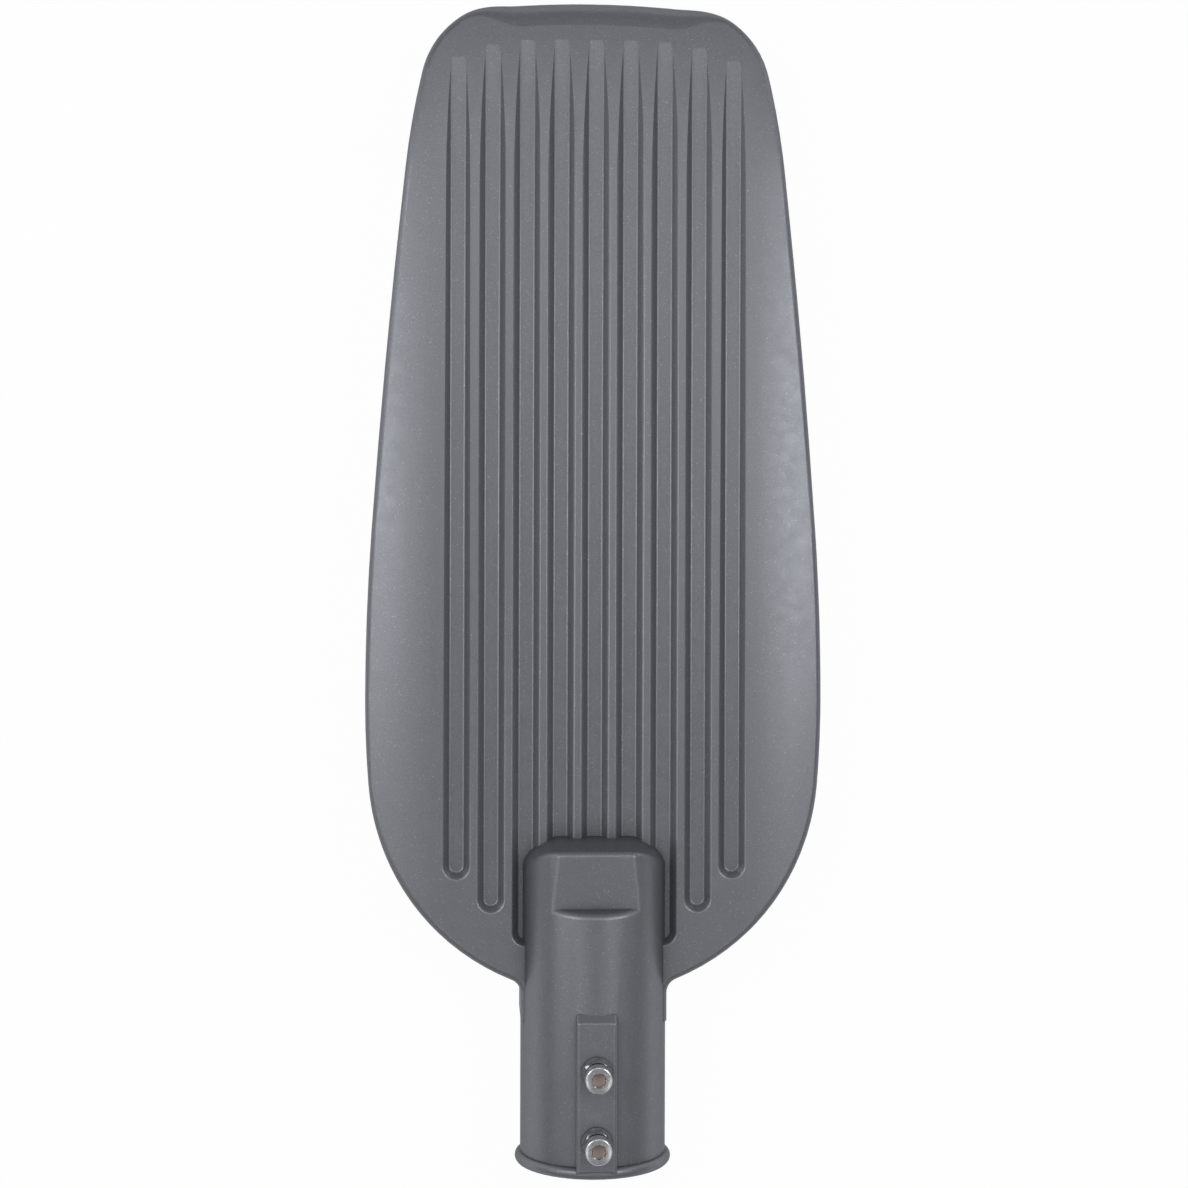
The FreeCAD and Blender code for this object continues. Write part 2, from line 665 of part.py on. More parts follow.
def hood_prism():
    """The plan of the hood with round front corners, drawn in towards the top."""
    body = add("PartDesign::Body", "hood_prism")
    sketch = sketch_in(body, "hood_plan", "XY_Plane", "sizes.hood_base_z")
    wide, front, corner, rear = size.hood_half_width, size.hood_front, size.hood_corner, size.bore_depth
    quarter = math.pi / 2
    z_axis = Vector(0, 0, 1)
    sketch.addGeometry(Part.LineSegment(Vector(-wide, rear, 0), Vector(wide, rear, 0)), False)
    sketch.addGeometry(Part.LineSegment(Vector(wide, rear, 0), Vector(wide, front - corner, 0)), False)
    right = Part.Circle(Vector(wide - corner, front - corner, 0), z_axis, corner)
    sketch.addGeometry(Part.ArcOfCircle(right, 0, quarter), False)
    sketch.addGeometry(Part.LineSegment(Vector(wide - corner, front, 0), Vector(corner - wide, front, 0)), False)
    left = Part.Circle(Vector(corner - wide, front - corner, 0), z_axis, corner)
    sketch.addGeometry(Part.ArcOfCircle(left, quarter, 2 * quarter), False)
    sketch.addGeometry(Part.LineSegment(Vector(-wide, front - corner, 0), Vector(-wide, rear, 0)), False)
    for one, end, other, start in ((1, 2, 2, 1), (2, 2, 3, 1), (3, 2, 4, 1), (4, 2, 5, 1)):
        sketch.addConstraint(Sketcher.Constraint("Tangent", one, end, other, start))
    sketch.addConstraint(Sketcher.Constraint("Coincident", 0, 2, 1, 1))
    sketch.addConstraint(Sketcher.Constraint("Coincident", 5, 2, 0, 1))
    hold(sketch, "Radius", 2, to="sizes.hood_corner")
    hold(sketch, "Radius", 4, to="sizes.hood_corner")
    hold_point(sketch, 0, 1, "-sizes.hood_half_width", "sizes.bore_depth")
    hold_point(sketch, 0, 2, "sizes.hood_half_width", "sizes.bore_depth")
    sketch.addConstraint(Sketcher.Constraint("Vertical", 1))
    sketch.addConstraint(Sketcher.Constraint("Vertical", 5))
    hold_point(sketch, 3, 1, y="sizes.hood_front")
    sketch.addConstraint(Sketcher.Constraint("Horizontal", 3))
    pad = body.newObject("PartDesign::Pad", "hood_rise")
    pad.Profile = sketch
    bind(pad, Length="sizes.tube_radius", TaperAngle="-sizes.hood_draft")
    return body


def on_hood_crest(edge):
    """True for the edges round the hood's front and round its facet, but not in the facet's rear corner."""
    bounds = edge.BoundBox
    at_base = bounds.ZMin < size.hood_base_z + 0.1
    at_rear = bounds.YMax < size.bore_depth + 0.1
    in_corner = bounds.YLength < 0.01 and abs(bounds.YMax - size.facet_rear) < 0.1
    return not (at_base and bounds.ZLength < 0.1) and not at_rear and not in_corner


def casting():
    """The shell with its grooves, the spigot tube, bead, hood and bolt pad, still solid inside."""
    blank = plan_prism("shell_blank", "0", "sizes.bay_rim", "2 * sizes.crown_top")
    shell = common("shell_crowned", blank, crown_block("crown_outside", "0"))
    doc.recompute()
    smooth = add("Part::Fillet", "shell_rounded")
    smooth.Base = shell
    smooth.Edges = top_edge_rounds(shell)
    grooved = cut("shell_grooved", smooth, *[groove_cutter(place) for place in range(-4, 5)])
    tube = cylinder("tube", "sizes.tube_radius", BAY_REAR, rotation=ALONG_Y)
    hood_round = cylinder("hood_round", "sizes.tube_radius", "sizes.hood_front - sizes.bore_depth",
                          y="sizes.bore_depth", rotation=ALONG_Y)
    rise = "(sizes.tube_radius - sizes.facet_height)"
    facet = extruded("facet_cutter", "YZ_Plane", [
        ("sizes.facet_rear", "sizes.facet_height"),
        ("sizes.hood_front", "sizes.facet_height + (sizes.hood_front - sizes.facet_rear) * tan(sizes.facet_tilt)"),
        ("sizes.hood_front", f"sizes.facet_height + 3 * {rise}"),
        ("sizes.facet_rear - 3 * sizes.facet_step_run", f"sizes.facet_height + 3 * {rise}")],
        "3 * sizes.tube_radius")
    hood = rounded("hood", cut("hood_sharp", common("hood_drafted", hood_round, hood_prism()), facet),
                   size.hood_round, on_hood_crest)
    bead = bind(add("Part::Torus", "mouth_bead"), Radius1="sizes.tube_radius - sizes.bead_sink",
                Radius2="sizes.bead_radius")
    bead.Placement = Placement(Vector(), ALONG_Y)
    bind(bead, Placement__Base__y="sizes.bead_radius")
    strip = extruded("bolt_pad_strip", "YZ_Plane", [
        ("sizes.bead_radius", "sizes.bore_radius + 1"),
        ("sizes.bead_radius", "sizes.bolt_pad_top"),
        ("sizes.bolt_pad_end - sizes.bolt_pad_ramp", "sizes.bolt_pad_top"),
        ("sizes.bolt_pad_end", "sizes.tube_radius - 0.5"),
        ("sizes.bolt_pad_end", "sizes.bore_radius + 1")],
        "sizes.bolt_pad_width")
    strip = rounded("bolt_pad", strip, size.bolt_pad_round,
                    lambda edge: edge.BoundBox.ZMin > size.tube_radius + (1 if edge.BoundBox.YLength < 1 else -1))
    bosses = [cylinder(f"bolt_boss_{place}", "sizes.boss_radius", "sizes.bolt_pad_top + sizes.boss_height - 33",
                       y=f"sizes.bolt_{place}_y", z="33") for place in ("outer", "inner")]
    step = extruded("rim_step", "YZ_Plane", [
        ("sizes.rim_step_y", "sizes.bay_rim"),
        ("sizes.rim_step_y + sizes.rim_step_run", "sizes.optic_rim"),
        ("sizes.head_length + 20", "sizes.optic_rim"),
        ("sizes.head_length + 20", "sizes.bay_rim - 20"),
        ("sizes.rim_step_y", "sizes.bay_rim - 20")],
        "3 * sizes.half_width")
    shell = rounded("shell", cut("shell_stepped", grooved, step), size.rim_round,
                    lambda edge: edge.BoundBox.ZMax < size.optic_rim + 0.1)
    return fuse("casting", shell, tube, hood, bead, strip, *bosses)


def bounded(name, prism, rear=None, front=None):
    """The part of a plan prism between two stations along the head."""
    low = rear or "0"
    high = front or "sizes.head_length + 20"
    window = box(name + "_window", "-2 * sizes.half_width", low, "3 * sizes.bay_rim",
                 "4 * sizes.half_width", f"({high}) - ({low})", "6 * abs(sizes.bay_rim)")
    return common(name, prism, window)


BAY_REAR = "(sizes.bore_depth + sizes.chamber_depth + sizes.end_wall)"
BAY_INSET = "(sizes.lip_wall + sizes.bay_ledge)"
BAY_LEDGE_Z = "(sizes.bay_rim + sizes.cover_recess)"
OPTIC_REAR = "(sizes.rim_step_y + sizes.rim_step_run + sizes.lip_wall)"
OPTIC_INSET = "(sizes.lip_wall + sizes.optic_ledge)"
OPTIC_LEDGE_Z = "(sizes.optic_rim + sizes.optic_recess)"
CEILING_SINK = "sizes.groove_depth + sizes.web"


def notch(name, half_width, front):
    """The block that stays solid round the tube, to be taken out of a bay's space."""
    return box(name, f"-({half_width})", "0", "3 * sizes.bay_rim", f"2 * ({half_width})", front,
               "6 * abs(sizes.bay_rim)")


def bay_spaces():
    """The spaces of the driver bay and the optical bay with their ledges."""
    below = "sizes.bay_rim - 1"
    ceiling = crown_block("crown_inside", CEILING_SINK)
    bay = common("driver_bay_blank",
                 bounded("driver_bay_plan", plan_prism("driver_bay_prism", BAY_INSET, below, "sizes.crown_top"),
                         front=f"sizes.rim_step_y - {BAY_INSET}"), ceiling)
    bay = cut("driver_bay", bay, notch("driver_bay_notch", "sizes.tube_radius + sizes.bay_ledge", BAY_REAR))
    hood_space = common("hood_space",
                        cylinder("hood_bore", "sizes.tube_radius - sizes.hood_wall",
                                 f"sizes.hood_front - 2.4 * sizes.hood_wall - {BAY_REAR}", y=BAY_REAR,
                                 rotation=ALONG_Y),
                        box("hood_window", "-sizes.tube_radius", "0", "0", "2 * sizes.tube_radius",
                            "sizes.head_length", "sizes.facet_height - sizes.hood_wall"))
    recess = cut("cover_seat",
                 bounded("cover_seat_plan", plan_prism("cover_seat_prism", "sizes.lip_wall", below, BAY_LEDGE_Z),
                         front="sizes.rim_step_y - sizes.lip_wall"),
                 notch("cover_seat_notch", "sizes.tube_radius", f"{BAY_REAR} - sizes.bay_ledge"))
    optic = common("optic_bay_blank",
                   bounded("optic_bay_plan", plan_prism("optic_bay_prism", OPTIC_INSET, below, "sizes.crown_top"),
                           rear=f"{OPTIC_REAR} + sizes.optic_ledge"), ceiling)
    pedestal = box("pedestal",
                   "-sizes.board_width / 2 - sizes.pedestal_margin",
                   "sizes.board_centre_y - sizes.board_length / 2 - sizes.pedestal_margin",
                   "sizes.pedestal_z",
                   "sizes.board_width + 2 * sizes.pedestal_margin",
                   "sizes.board_length + 2 * sizes.pedestal_margin", "2 * sizes.crown_top - sizes.pedestal_z")
    optic = cut("optic_bay", optic, pedestal)
    seat = bounded("lens_seat", plan_prism("lens_seat_prism", "sizes.lip_wall", below, OPTIC_LEDGE_Z),
                   rear=OPTIC_REAR)
    return [bay, hood_space, recess, optic, seat]


def bore_tool():
    """The spigot bore with its mouth, the cable chamber and the hole for the gland."""
    end = "sizes.bore_depth + sizes.chamber_depth"
    gland = "sizes.gland_thread_radius + sizes.bolt_clearance"
    return turned("bore_tool", [
        ("0", "-1"),
        ("sizes.bore_radius", "-1"),
        ("sizes.bore_radius", "sizes.bore_depth"),
        ("sizes.chamber_radius", "sizes.bore_depth"),
        ("sizes.chamber_radius", end),
        (gland, end),
        (gland, f"{BAY_REAR} + 1"),
        ("0", f"{BAY_REAR} + 1")])


DRIVER_BOSS_X = "(sizes.driver_length / 2 + sizes.driver_flange / 2)"
FRAME_SEAT_Z = f"({OPTIC_LEDGE_Z} - sizes.gasket_thickness - sizes.lens_sheet - sizes.frame_thickness)"
COVER_SEAT_Z = f"({BAY_LEDGE_Z} - sizes.gasket_thickness - sizes.cover_thickness)"
FRAME_REAR_X = (0.0, size.rear_screw_x)
CLAMP_PLACES = [f"{sign} * sizes.clamp_spread" for sign in (-1, 1)]
BOARD_SCREW_PLACES = [
    (f"{side} * (sizes.board_width / 2 - sizes.board_screw_inset)",
     f"sizes.board_centre_y + {end} * (sizes.board_length / 2 - sizes.board_screw_inset)")
    for side in (-1, 1) for end in (-1, 0, 1)]


def stations(first, last, count):
    """Evenly spaced numbers from first to last."""
    return [first + (last - first) * step / (count - 1) for step in range(int(count))]


def frame_screw_places():
    """Where the frame's screws stand: along both sides, at the tip and along the rear edge."""
    inset = size.frame_screw_inset
    along = stations(value(OPTIC_REAR) + size.frame_screw_rear, size.head_length - size.frame_screw_front,
                     size.frame_side_screws)
    places = [(side * outline_half_width(y, inset), y) for y in along for side in (-1, 1)]
    rear = value(OPTIC_REAR) + inset - size.lip_wall
    reach = size.tip_radius - inset
    places += [(side * x, rear) for x in FRAME_REAR_X for side in ((-1, 1) if x else (1,))]
    tip_y = CHAIN["tip"][1] + math.sqrt(reach ** 2 - size.tip_screw_x ** 2)
    return places + [(side * size.tip_screw_x, tip_y) for side in (-1, 1)]


def cover_screw_places():
    inset = size.lip_wall + size.cover_screw_inset
    along = stations(value(BAY_REAR) + size.cover_screw_rear, size.rim_step_y - size.cover_screw_front,
                     size.cover_side_screws)
    return [(side * outline_half_width(y, inset), y) for y in along for side in (-1, 1)]


def inner_bosses():
    """Bosses under the ceiling of the driver bay, each down to the level of what it carries."""
    high = "sizes.crown_top + 30"
    solids = []
    for index, (x, y) in enumerate(cover_screw_places(), start=1):
        solids.append(cylinder(f"cover_boss_{index}", "sizes.inner_boss_radius", f"{high} - {BAY_LEDGE_Z}",
                               x, y, BAY_LEDGE_Z))
    for side in (-1, 1):
        solids.append(cylinder(f"driver_boss_{side + 2}", "sizes.driver_flange / 2 - 0.5",
                               f"{high} - sizes.driver_top_z", f"{side} * {DRIVER_BOSS_X}",
                               "sizes.driver_centre_y", "sizes.driver_top_z"))
    for index, x in enumerate(CLAMP_PLACES, start=1):
        solids.append(cylinder(f"clamp_boss_{index}", "sizes.clamp_width / 2", f"{high} - sizes.clamp_top_z",
                               x, "sizes.clamp_y", "sizes.clamp_top_z"))
    solids.append(cylinder("earth_boss", "sizes.inner_boss_radius", f"{high} - sizes.earth_top_z",
                           "sizes.earth_x", "sizes.clamp_y", "sizes.earth_top_z"))
    for name in ("terminal", "surge"):
        solids.append(box(f"{name}_plinth", f"sizes.{name}_x - sizes.{name}_length / 2 + 3",
                          f"sizes.{name}_y - sizes.{name}_width / 2 + 3", f"sizes.{name}_top_z",
                          f"sizes.{name}_length - 6", f"sizes.{name}_width - 6",
                          f"{high} - sizes.{name}_top_z"))
    return common("inner_bosses", fuse("inner_bosses_raised", *solids),
                  crown_block("boss_limit", "sizes.groove_depth + sizes.web / 2"))


def screw_holes():
    """Blind holes for the screws, a little wider and deeper than what goes in."""
    hole = "sizes.screw_radius + sizes.screw_clearance"
    holes = []
    for index, (x, y) in enumerate(frame_screw_places(), start=1):
        holes.append(cylinder(f"frame_hole_{index}", hole, "sizes.screw_length + 1", x, y, FRAME_SEAT_Z))
    for index, (x, y) in enumerate(cover_screw_places(), start=1):
        holes.append(cylinder(f"cover_hole_{index}", hole, "sizes.screw_length + 1", x, y, COVER_SEAT_Z))
    for index, (x, y) in enumerate(BOARD_SCREW_PLACES, start=1):
        holes.append(cylinder(f"board_hole_{index}", "sizes.board_screw_radius + sizes.screw_clearance",
                              "sizes.board_screw_length", x, y, "sizes.pedestal_z - 1"))
    for side in (-1, 1):
        holes.append(cylinder(f"driver_hole_{side + 2}", hole, "sizes.inner_screw_length",
                              f"{side} * {DRIVER_BOSS_X}", "sizes.driver_centre_y", "sizes.driver_top_z - 1"))
    for index, x in enumerate(CLAMP_PLACES, start=1):
        holes.append(cylinder(f"clamp_hole_{index}", hole, "sizes.screw_length", x, "sizes.clamp_y",
                              "sizes.clamp_top_z - 1"))
    holes.append(cylinder("earth_hole", hole, "sizes.inner_screw_length + 1", "sizes.earth_x", "sizes.clamp_y",
                          "sizes.earth_top_z - 1"))
    holes.append(cylinder("lead_hole", "sizes.lead_hole_radius", "60", "sizes.lead_x",
                          "sizes.rim_step_y - 20", "sizes.lead_hole_z", ALONG_Y))
    return holes


def housing():
    tools = bay_spaces()
    tools.append(bore_tool())
    for place in ("outer", "inner"):
        tools.append(cylinder(f"bolt_hole_{place}", "sizes.bolt_radius + sizes.bolt_clearance",
                              "sizes.bolt_pad_top - sizes.bore_radius + 10", y=f"sizes.bolt_{place}_y",
                              z="sizes.bore_radius - 5"))
    hollow = cut("housing_hollow", casting(), *tools)
    return cut("housing", fuse("housing_bossed", hollow, inner_bosses()), *screw_holes())


# Fasteners

def screw_up(name, x, y, seat_z, radius, length, head_radius):
    """A socket screw driven upwards, with its head under the level that it seats on."""
    shank = cylinder(name + "_shank", radius, length, x, y, seat_z)
    head = cylinder(name + "_head", head_radius, "sizes.screw_head_height", x, y,
                    f"({seat_z}) - sizes.screw_head_height")
    socket = hexagon(name + "_socket", "sizes.screw_socket_flats", "sizes.screw_socket_depth", x, y,
                     f"({seat_z}) - sizes.screw_head_height")
    return cut(name, fuse(name + "_blank", shank, head), socket)


def clamp_bolt(place):
    """A socket head clamp screw with its lock nut under the head."""
    tip = "(sizes.bolt_pad_top + sizes.boss_height + sizes.nut_height + sizes.bolt_head_gap - sizes.bolt_length)"
    chamfer = "sizes.bolt_head_chamfer"
    top = "sizes.bolt_length + sizes.bolt_head_height"
    turning = turned(f"clamp_bolt_{place}_turning", [
        ("0", "0"),
        (f"sizes.bolt_radius - {chamfer}", "0"),
        ("sizes.bolt_radius", chamfer),
        ("sizes.bolt_radius", "sizes.bolt_length"),
        ("sizes.bolt_head_radius", "sizes.bolt_length"),
        ("sizes.bolt_head_radius", f"{top} - {chamfer}"),
        (f"sizes.bolt_head_radius - {chamfer}", top),
        ("0", top)], "XZ_Plane")
    bind(turning, Placement__Base__y=f"sizes.bolt_{place}_y", Placement__Base__z=tip)
    socket = hexagon(f"clamp_bolt_{place}_socket", "sizes.bolt_socket_flats", "sizes.bolt_socket_depth + 1",
                     "0", f"sizes.bolt_{place}_y", f"{tip} + {top} - sizes.bolt_socket_depth")
    cut(f"clamp_bolt_{place}", turning, socket)
    seat = "(sizes.bolt_pad_top + sizes.boss_height)"
    corner = "(sizes.nut_flats / sqrt(3))"
    blunt = turned(f"lock_nut_{place}_turning", [
        ("sizes.bolt_radius + sizes.bolt_clearance", "0"),
        ("sizes.nut_flats / 2 - 0.2", "0"),
        (f"{corner} + 0.1", "sizes.nut_height * 0.16"),
        (f"{corner} + 0.1", "sizes.nut_height * 0.84"),
        ("sizes.nut_flats / 2 - 0.2", "sizes.nut_height"),
        ("sizes.bolt_radius + sizes.bolt_clearance", "sizes.nut_height")], "XZ_Plane")
    bind(blunt, Placement__Base__y=f"sizes.bolt_{place}_y", Placement__Base__z=seat)
    flats = hexagon(f"lock_nut_{place}_flats", "sizes.nut_flats", "sizes.nut_height", "0",
                    f"sizes.bolt_{place}_y", seat, Rotation(Vector(0, 0, 1), 1))
    bind(flats, Placement__Rotation__Angle=f"sizes.nut_{place}_turn")
    common(f"lock_nut_{place}", blunt, flats)


# Optics: thermal pad, board, chips, moulded lens sheet, gasket and frame

def optic_plate(name, inset, low, high, rear_inset):
    """A plate with the outline of the lens seat, moved inwards."""
    prism = plan_prism(name + "_prism", inset, low, high)
    return bounded(name, prism, rear=f"sizes.rim_step_y + sizes.rim_step_run + ({rear_inset})")


def chip_places():
    columns, rows = int(size.chip_columns), int(size.chip_rows)
    return [(f"{column - (columns - 1) / 2} * sizes.chip_pitch_x",
             f"sizes.board_centre_y + {row - (rows - 1) / 2} * sizes.chip_pitch_y")
            for row in range(rows) for column in range(columns)]


def optics():
    board_top = "(sizes.pedestal_z - sizes.pad_thickness)"
    board_low = f"({board_top} - sizes.board_thickness)"
    wide, tall = "sizes.board_width", "sizes.board_length"
    middle = "sizes.board_centre_y"
    for name, top, thick, slack in (("thermal_pad", "sizes.pedestal_z", "sizes.pad_thickness", "0.4"),
                                    ("led_board", board_top, "sizes.board_thickness", "0")):
        holes = [cylinder(f"{name}_hole_{index}", f"sizes.board_screw_radius + sizes.screw_clearance + {slack}",
                          "20", x, y, "sizes.pedestal_z - 10")
                 for index, (x, y) in enumerate(BOARD_SCREW_PLACES, start=1)]
        cut(name, centred_box(name + "_sheet", "0", middle, top, wide, tall, thick), *holes)
    group("board_screws", [screw_up(f"board_screw_{index}", x, y, board_low, "sizes.board_screw_radius",
                                    "sizes.board_screw_length - 2", "sizes.board_screw_head")
                           for index, (x, y) in enumerate(BOARD_SCREW_PLACES, start=1)])
    group("led_chips", [centred_box(f"led_chip_{index}", x, y, board_low, "sizes.chip_size", "sizes.chip_size",
                                    "sizes.chip_height") for index, (x, y) in enumerate(chip_places(), start=1)])
    centred_box("board_connector", "sizes.connector_x", "sizes.connector_y", board_low,
                "sizes.connector_length", "sizes.connector_width", "sizes.connector_height")

    lens_top = f"({OPTIC_LEDGE_Z} - sizes.gasket_thickness)"
    lens_low = f"({lens_top} - sizes.lens_sheet)"
    fit = "sizes.lip_wall + sizes.seat_gap"
    ball = "((sizes.dome_radius ^ 2 + sizes.dome_height ^ 2) / (2 * sizes.dome_height))"
    domes = []
    for index, (x, y) in enumerate(chip_places(), start=1):
        dome = bind(add("Part::Sphere", f"lens_dome_{index}"), Radius=ball,
                    Angle2=f"-asin(({ball} - sizes.dome_height - sizes.lens_sheet / 2) / {ball})",
                    Placement__Base__x=x, Placement__Base__y=y,
                    Placement__Base__z=f"{lens_low} - sizes.dome_height + {ball}")
        domes.append(dome)
    sheet_blank = optic_plate("lens_sheet_blank", fit, lens_low, lens_top, fit)
    passages = [cylinder(f"lens_passage_{index}", "sizes.screw_radius + sizes.screw_clearance", "20", x, y,
                         f"{lens_low} - 10") for index, (x, y) in enumerate(frame_screw_places(), start=1)]
    cut("lens_plate", fuse("lens_sheet_domed", sheet_blank, *domes), *passages)

    inner = f"{OPTIC_INSET} - sizes.seat_gap"
    outer = f"{inner} - sizes.gasket_width"
    cut("lens_gasket", optic_plate("lens_gasket_outer", outer, lens_top, OPTIC_LEDGE_Z, outer),
        optic_plate("lens_gasket_inner", inner, f"{lens_top} - 5", f"{OPTIC_LEDGE_Z} + 5", inner))

    frame_low = f"({lens_low} - sizes.frame_thickness)"
    frame_holes = [cylinder(f"frame_passage_{index}", "sizes.screw_radius + sizes.screw_clearance", "20", x, y,
                            f"{frame_low} - 10") for index, (x, y) in enumerate(frame_screw_places(), start=1)]
    cut("lens_frame", optic_plate("lens_frame_outer", fit, frame_low, lens_low, fit),
        optic_plate("lens_frame_inner", OPTIC_INSET, f"{frame_low} - 5", f"{lens_low} + 5", OPTIC_INSET),
        *frame_holes)
    group("lens_frame_screws", [screw_up(f"lens_frame_screw_{index}", x, y, FRAME_SEAT_Z, "sizes.screw_radius",
                                         "sizes.screw_length", "sizes.screw_head_radius")
                                for index, (x, y) in enumerate(frame_screw_places(), start=1)])


# Driver cover with its gasket and screws

def bay_plate(name, inset, low, high):
    """A plate with the outline of the driver bay, moved inwards, notched round the tube."""
    prism = plan_prism(name + "_prism", f"sizes.lip_wall + ({inset})", low, high)
    whole = bounded(name + "_whole", prism, front=f"sizes.rim_step_y - sizes.lip_wall - ({inset})")
    return cut(name, whole, notch(name + "_notch", f"sizes.tube_radius + ({inset})",
                                  f"{BAY_REAR} - sizes.bay_ledge + ({inset})"))


def driver_cover():
    top = f"({BAY_LEDGE_Z} - sizes.gasket_thickness)"
    low = f"({top} - sizes.cover_thickness)"
    plate = bay_plate("driver_cover_plate", "sizes.seat_gap", low, top)
    holes = [cylinder(f"cover_passage_{index}", "sizes.screw_radius + sizes.screw_clearance", "20", x, y,
                      f"{low} - 10") for index, (x, y) in enumerate(cover_screw_places(), start=1)]
    cut("driver_cover", plate, *holes)
    edge = "sizes.seat_gap"
    cut("driver_cover_gasket", bay_plate("cover_gasket_outer", edge, top, BAY_LEDGE_Z),
        bay_plate("cover_gasket_inner", f"{edge} + sizes.cover_gasket_width", f"{top} - 5", f"{BAY_LEDGE_Z} + 5"))
    group("driver_cover_screws", [screw_up(f"driver_cover_screw_{index}", x, y, COVER_SEAT_Z, "sizes.screw_radius",
                                           "sizes.screw_length", "sizes.screw_head_radius")
                                  for index, (x, y) in enumerate(cover_screw_places(), start=1)])


# Driver, terminal block, surge protector, clamp and earth screw

def lead(name, corners):
    """A round lead along straight runs joined by tangent arcs."""
    points = [Vector(*corner) for corner in corners]
    edges, here = [], points[0]
    length = 0.0
    for before, point, after in zip(points, points[1:], points[2:]):
        back, ahead = before - point, after - point
        half_turn = (math.pi - back.getAngle(ahead)) / 2
        setback = 0.45 * min(back.Length, ahead.Length)
        radius = setback / math.tan(half_turn)
        start = point + back.normalize() * setback
        finish = point + ahead.normalize() * setback
        inward = ((start + finish) / 2 - point).normalize()
        crown = point + inward * (radius / math.cos(half_turn) - radius)
        edges += [Part.LineSegment(here, start).toShape(), Part.Arc(start, crown, finish).toShape()]
        length += here.distanceToPoint(start) + 2 * radius * half_turn
        here = finish
        print(f"{name}: bend of {radius:.1f} mm radius")
    edges.append(Part.LineSegment(here, points[-1]).toShape())
    length += here.distanceToPoint(points[-1])
    ring = Part.Wire(Part.makeCircle(size.lead_radius, points[0], points[1] - points[0]))
    solid = add("Part::Feature", name)
    solid.Shape = Part.Wire(edges).makePipeShell([ring], True, True)
    section = math.pi * size.lead_radius ** 2
    print(f"{name}: {length:.1f} mm long, volume {solid.Shape.Volume / section / length:.4f} of section x length")
    return solid


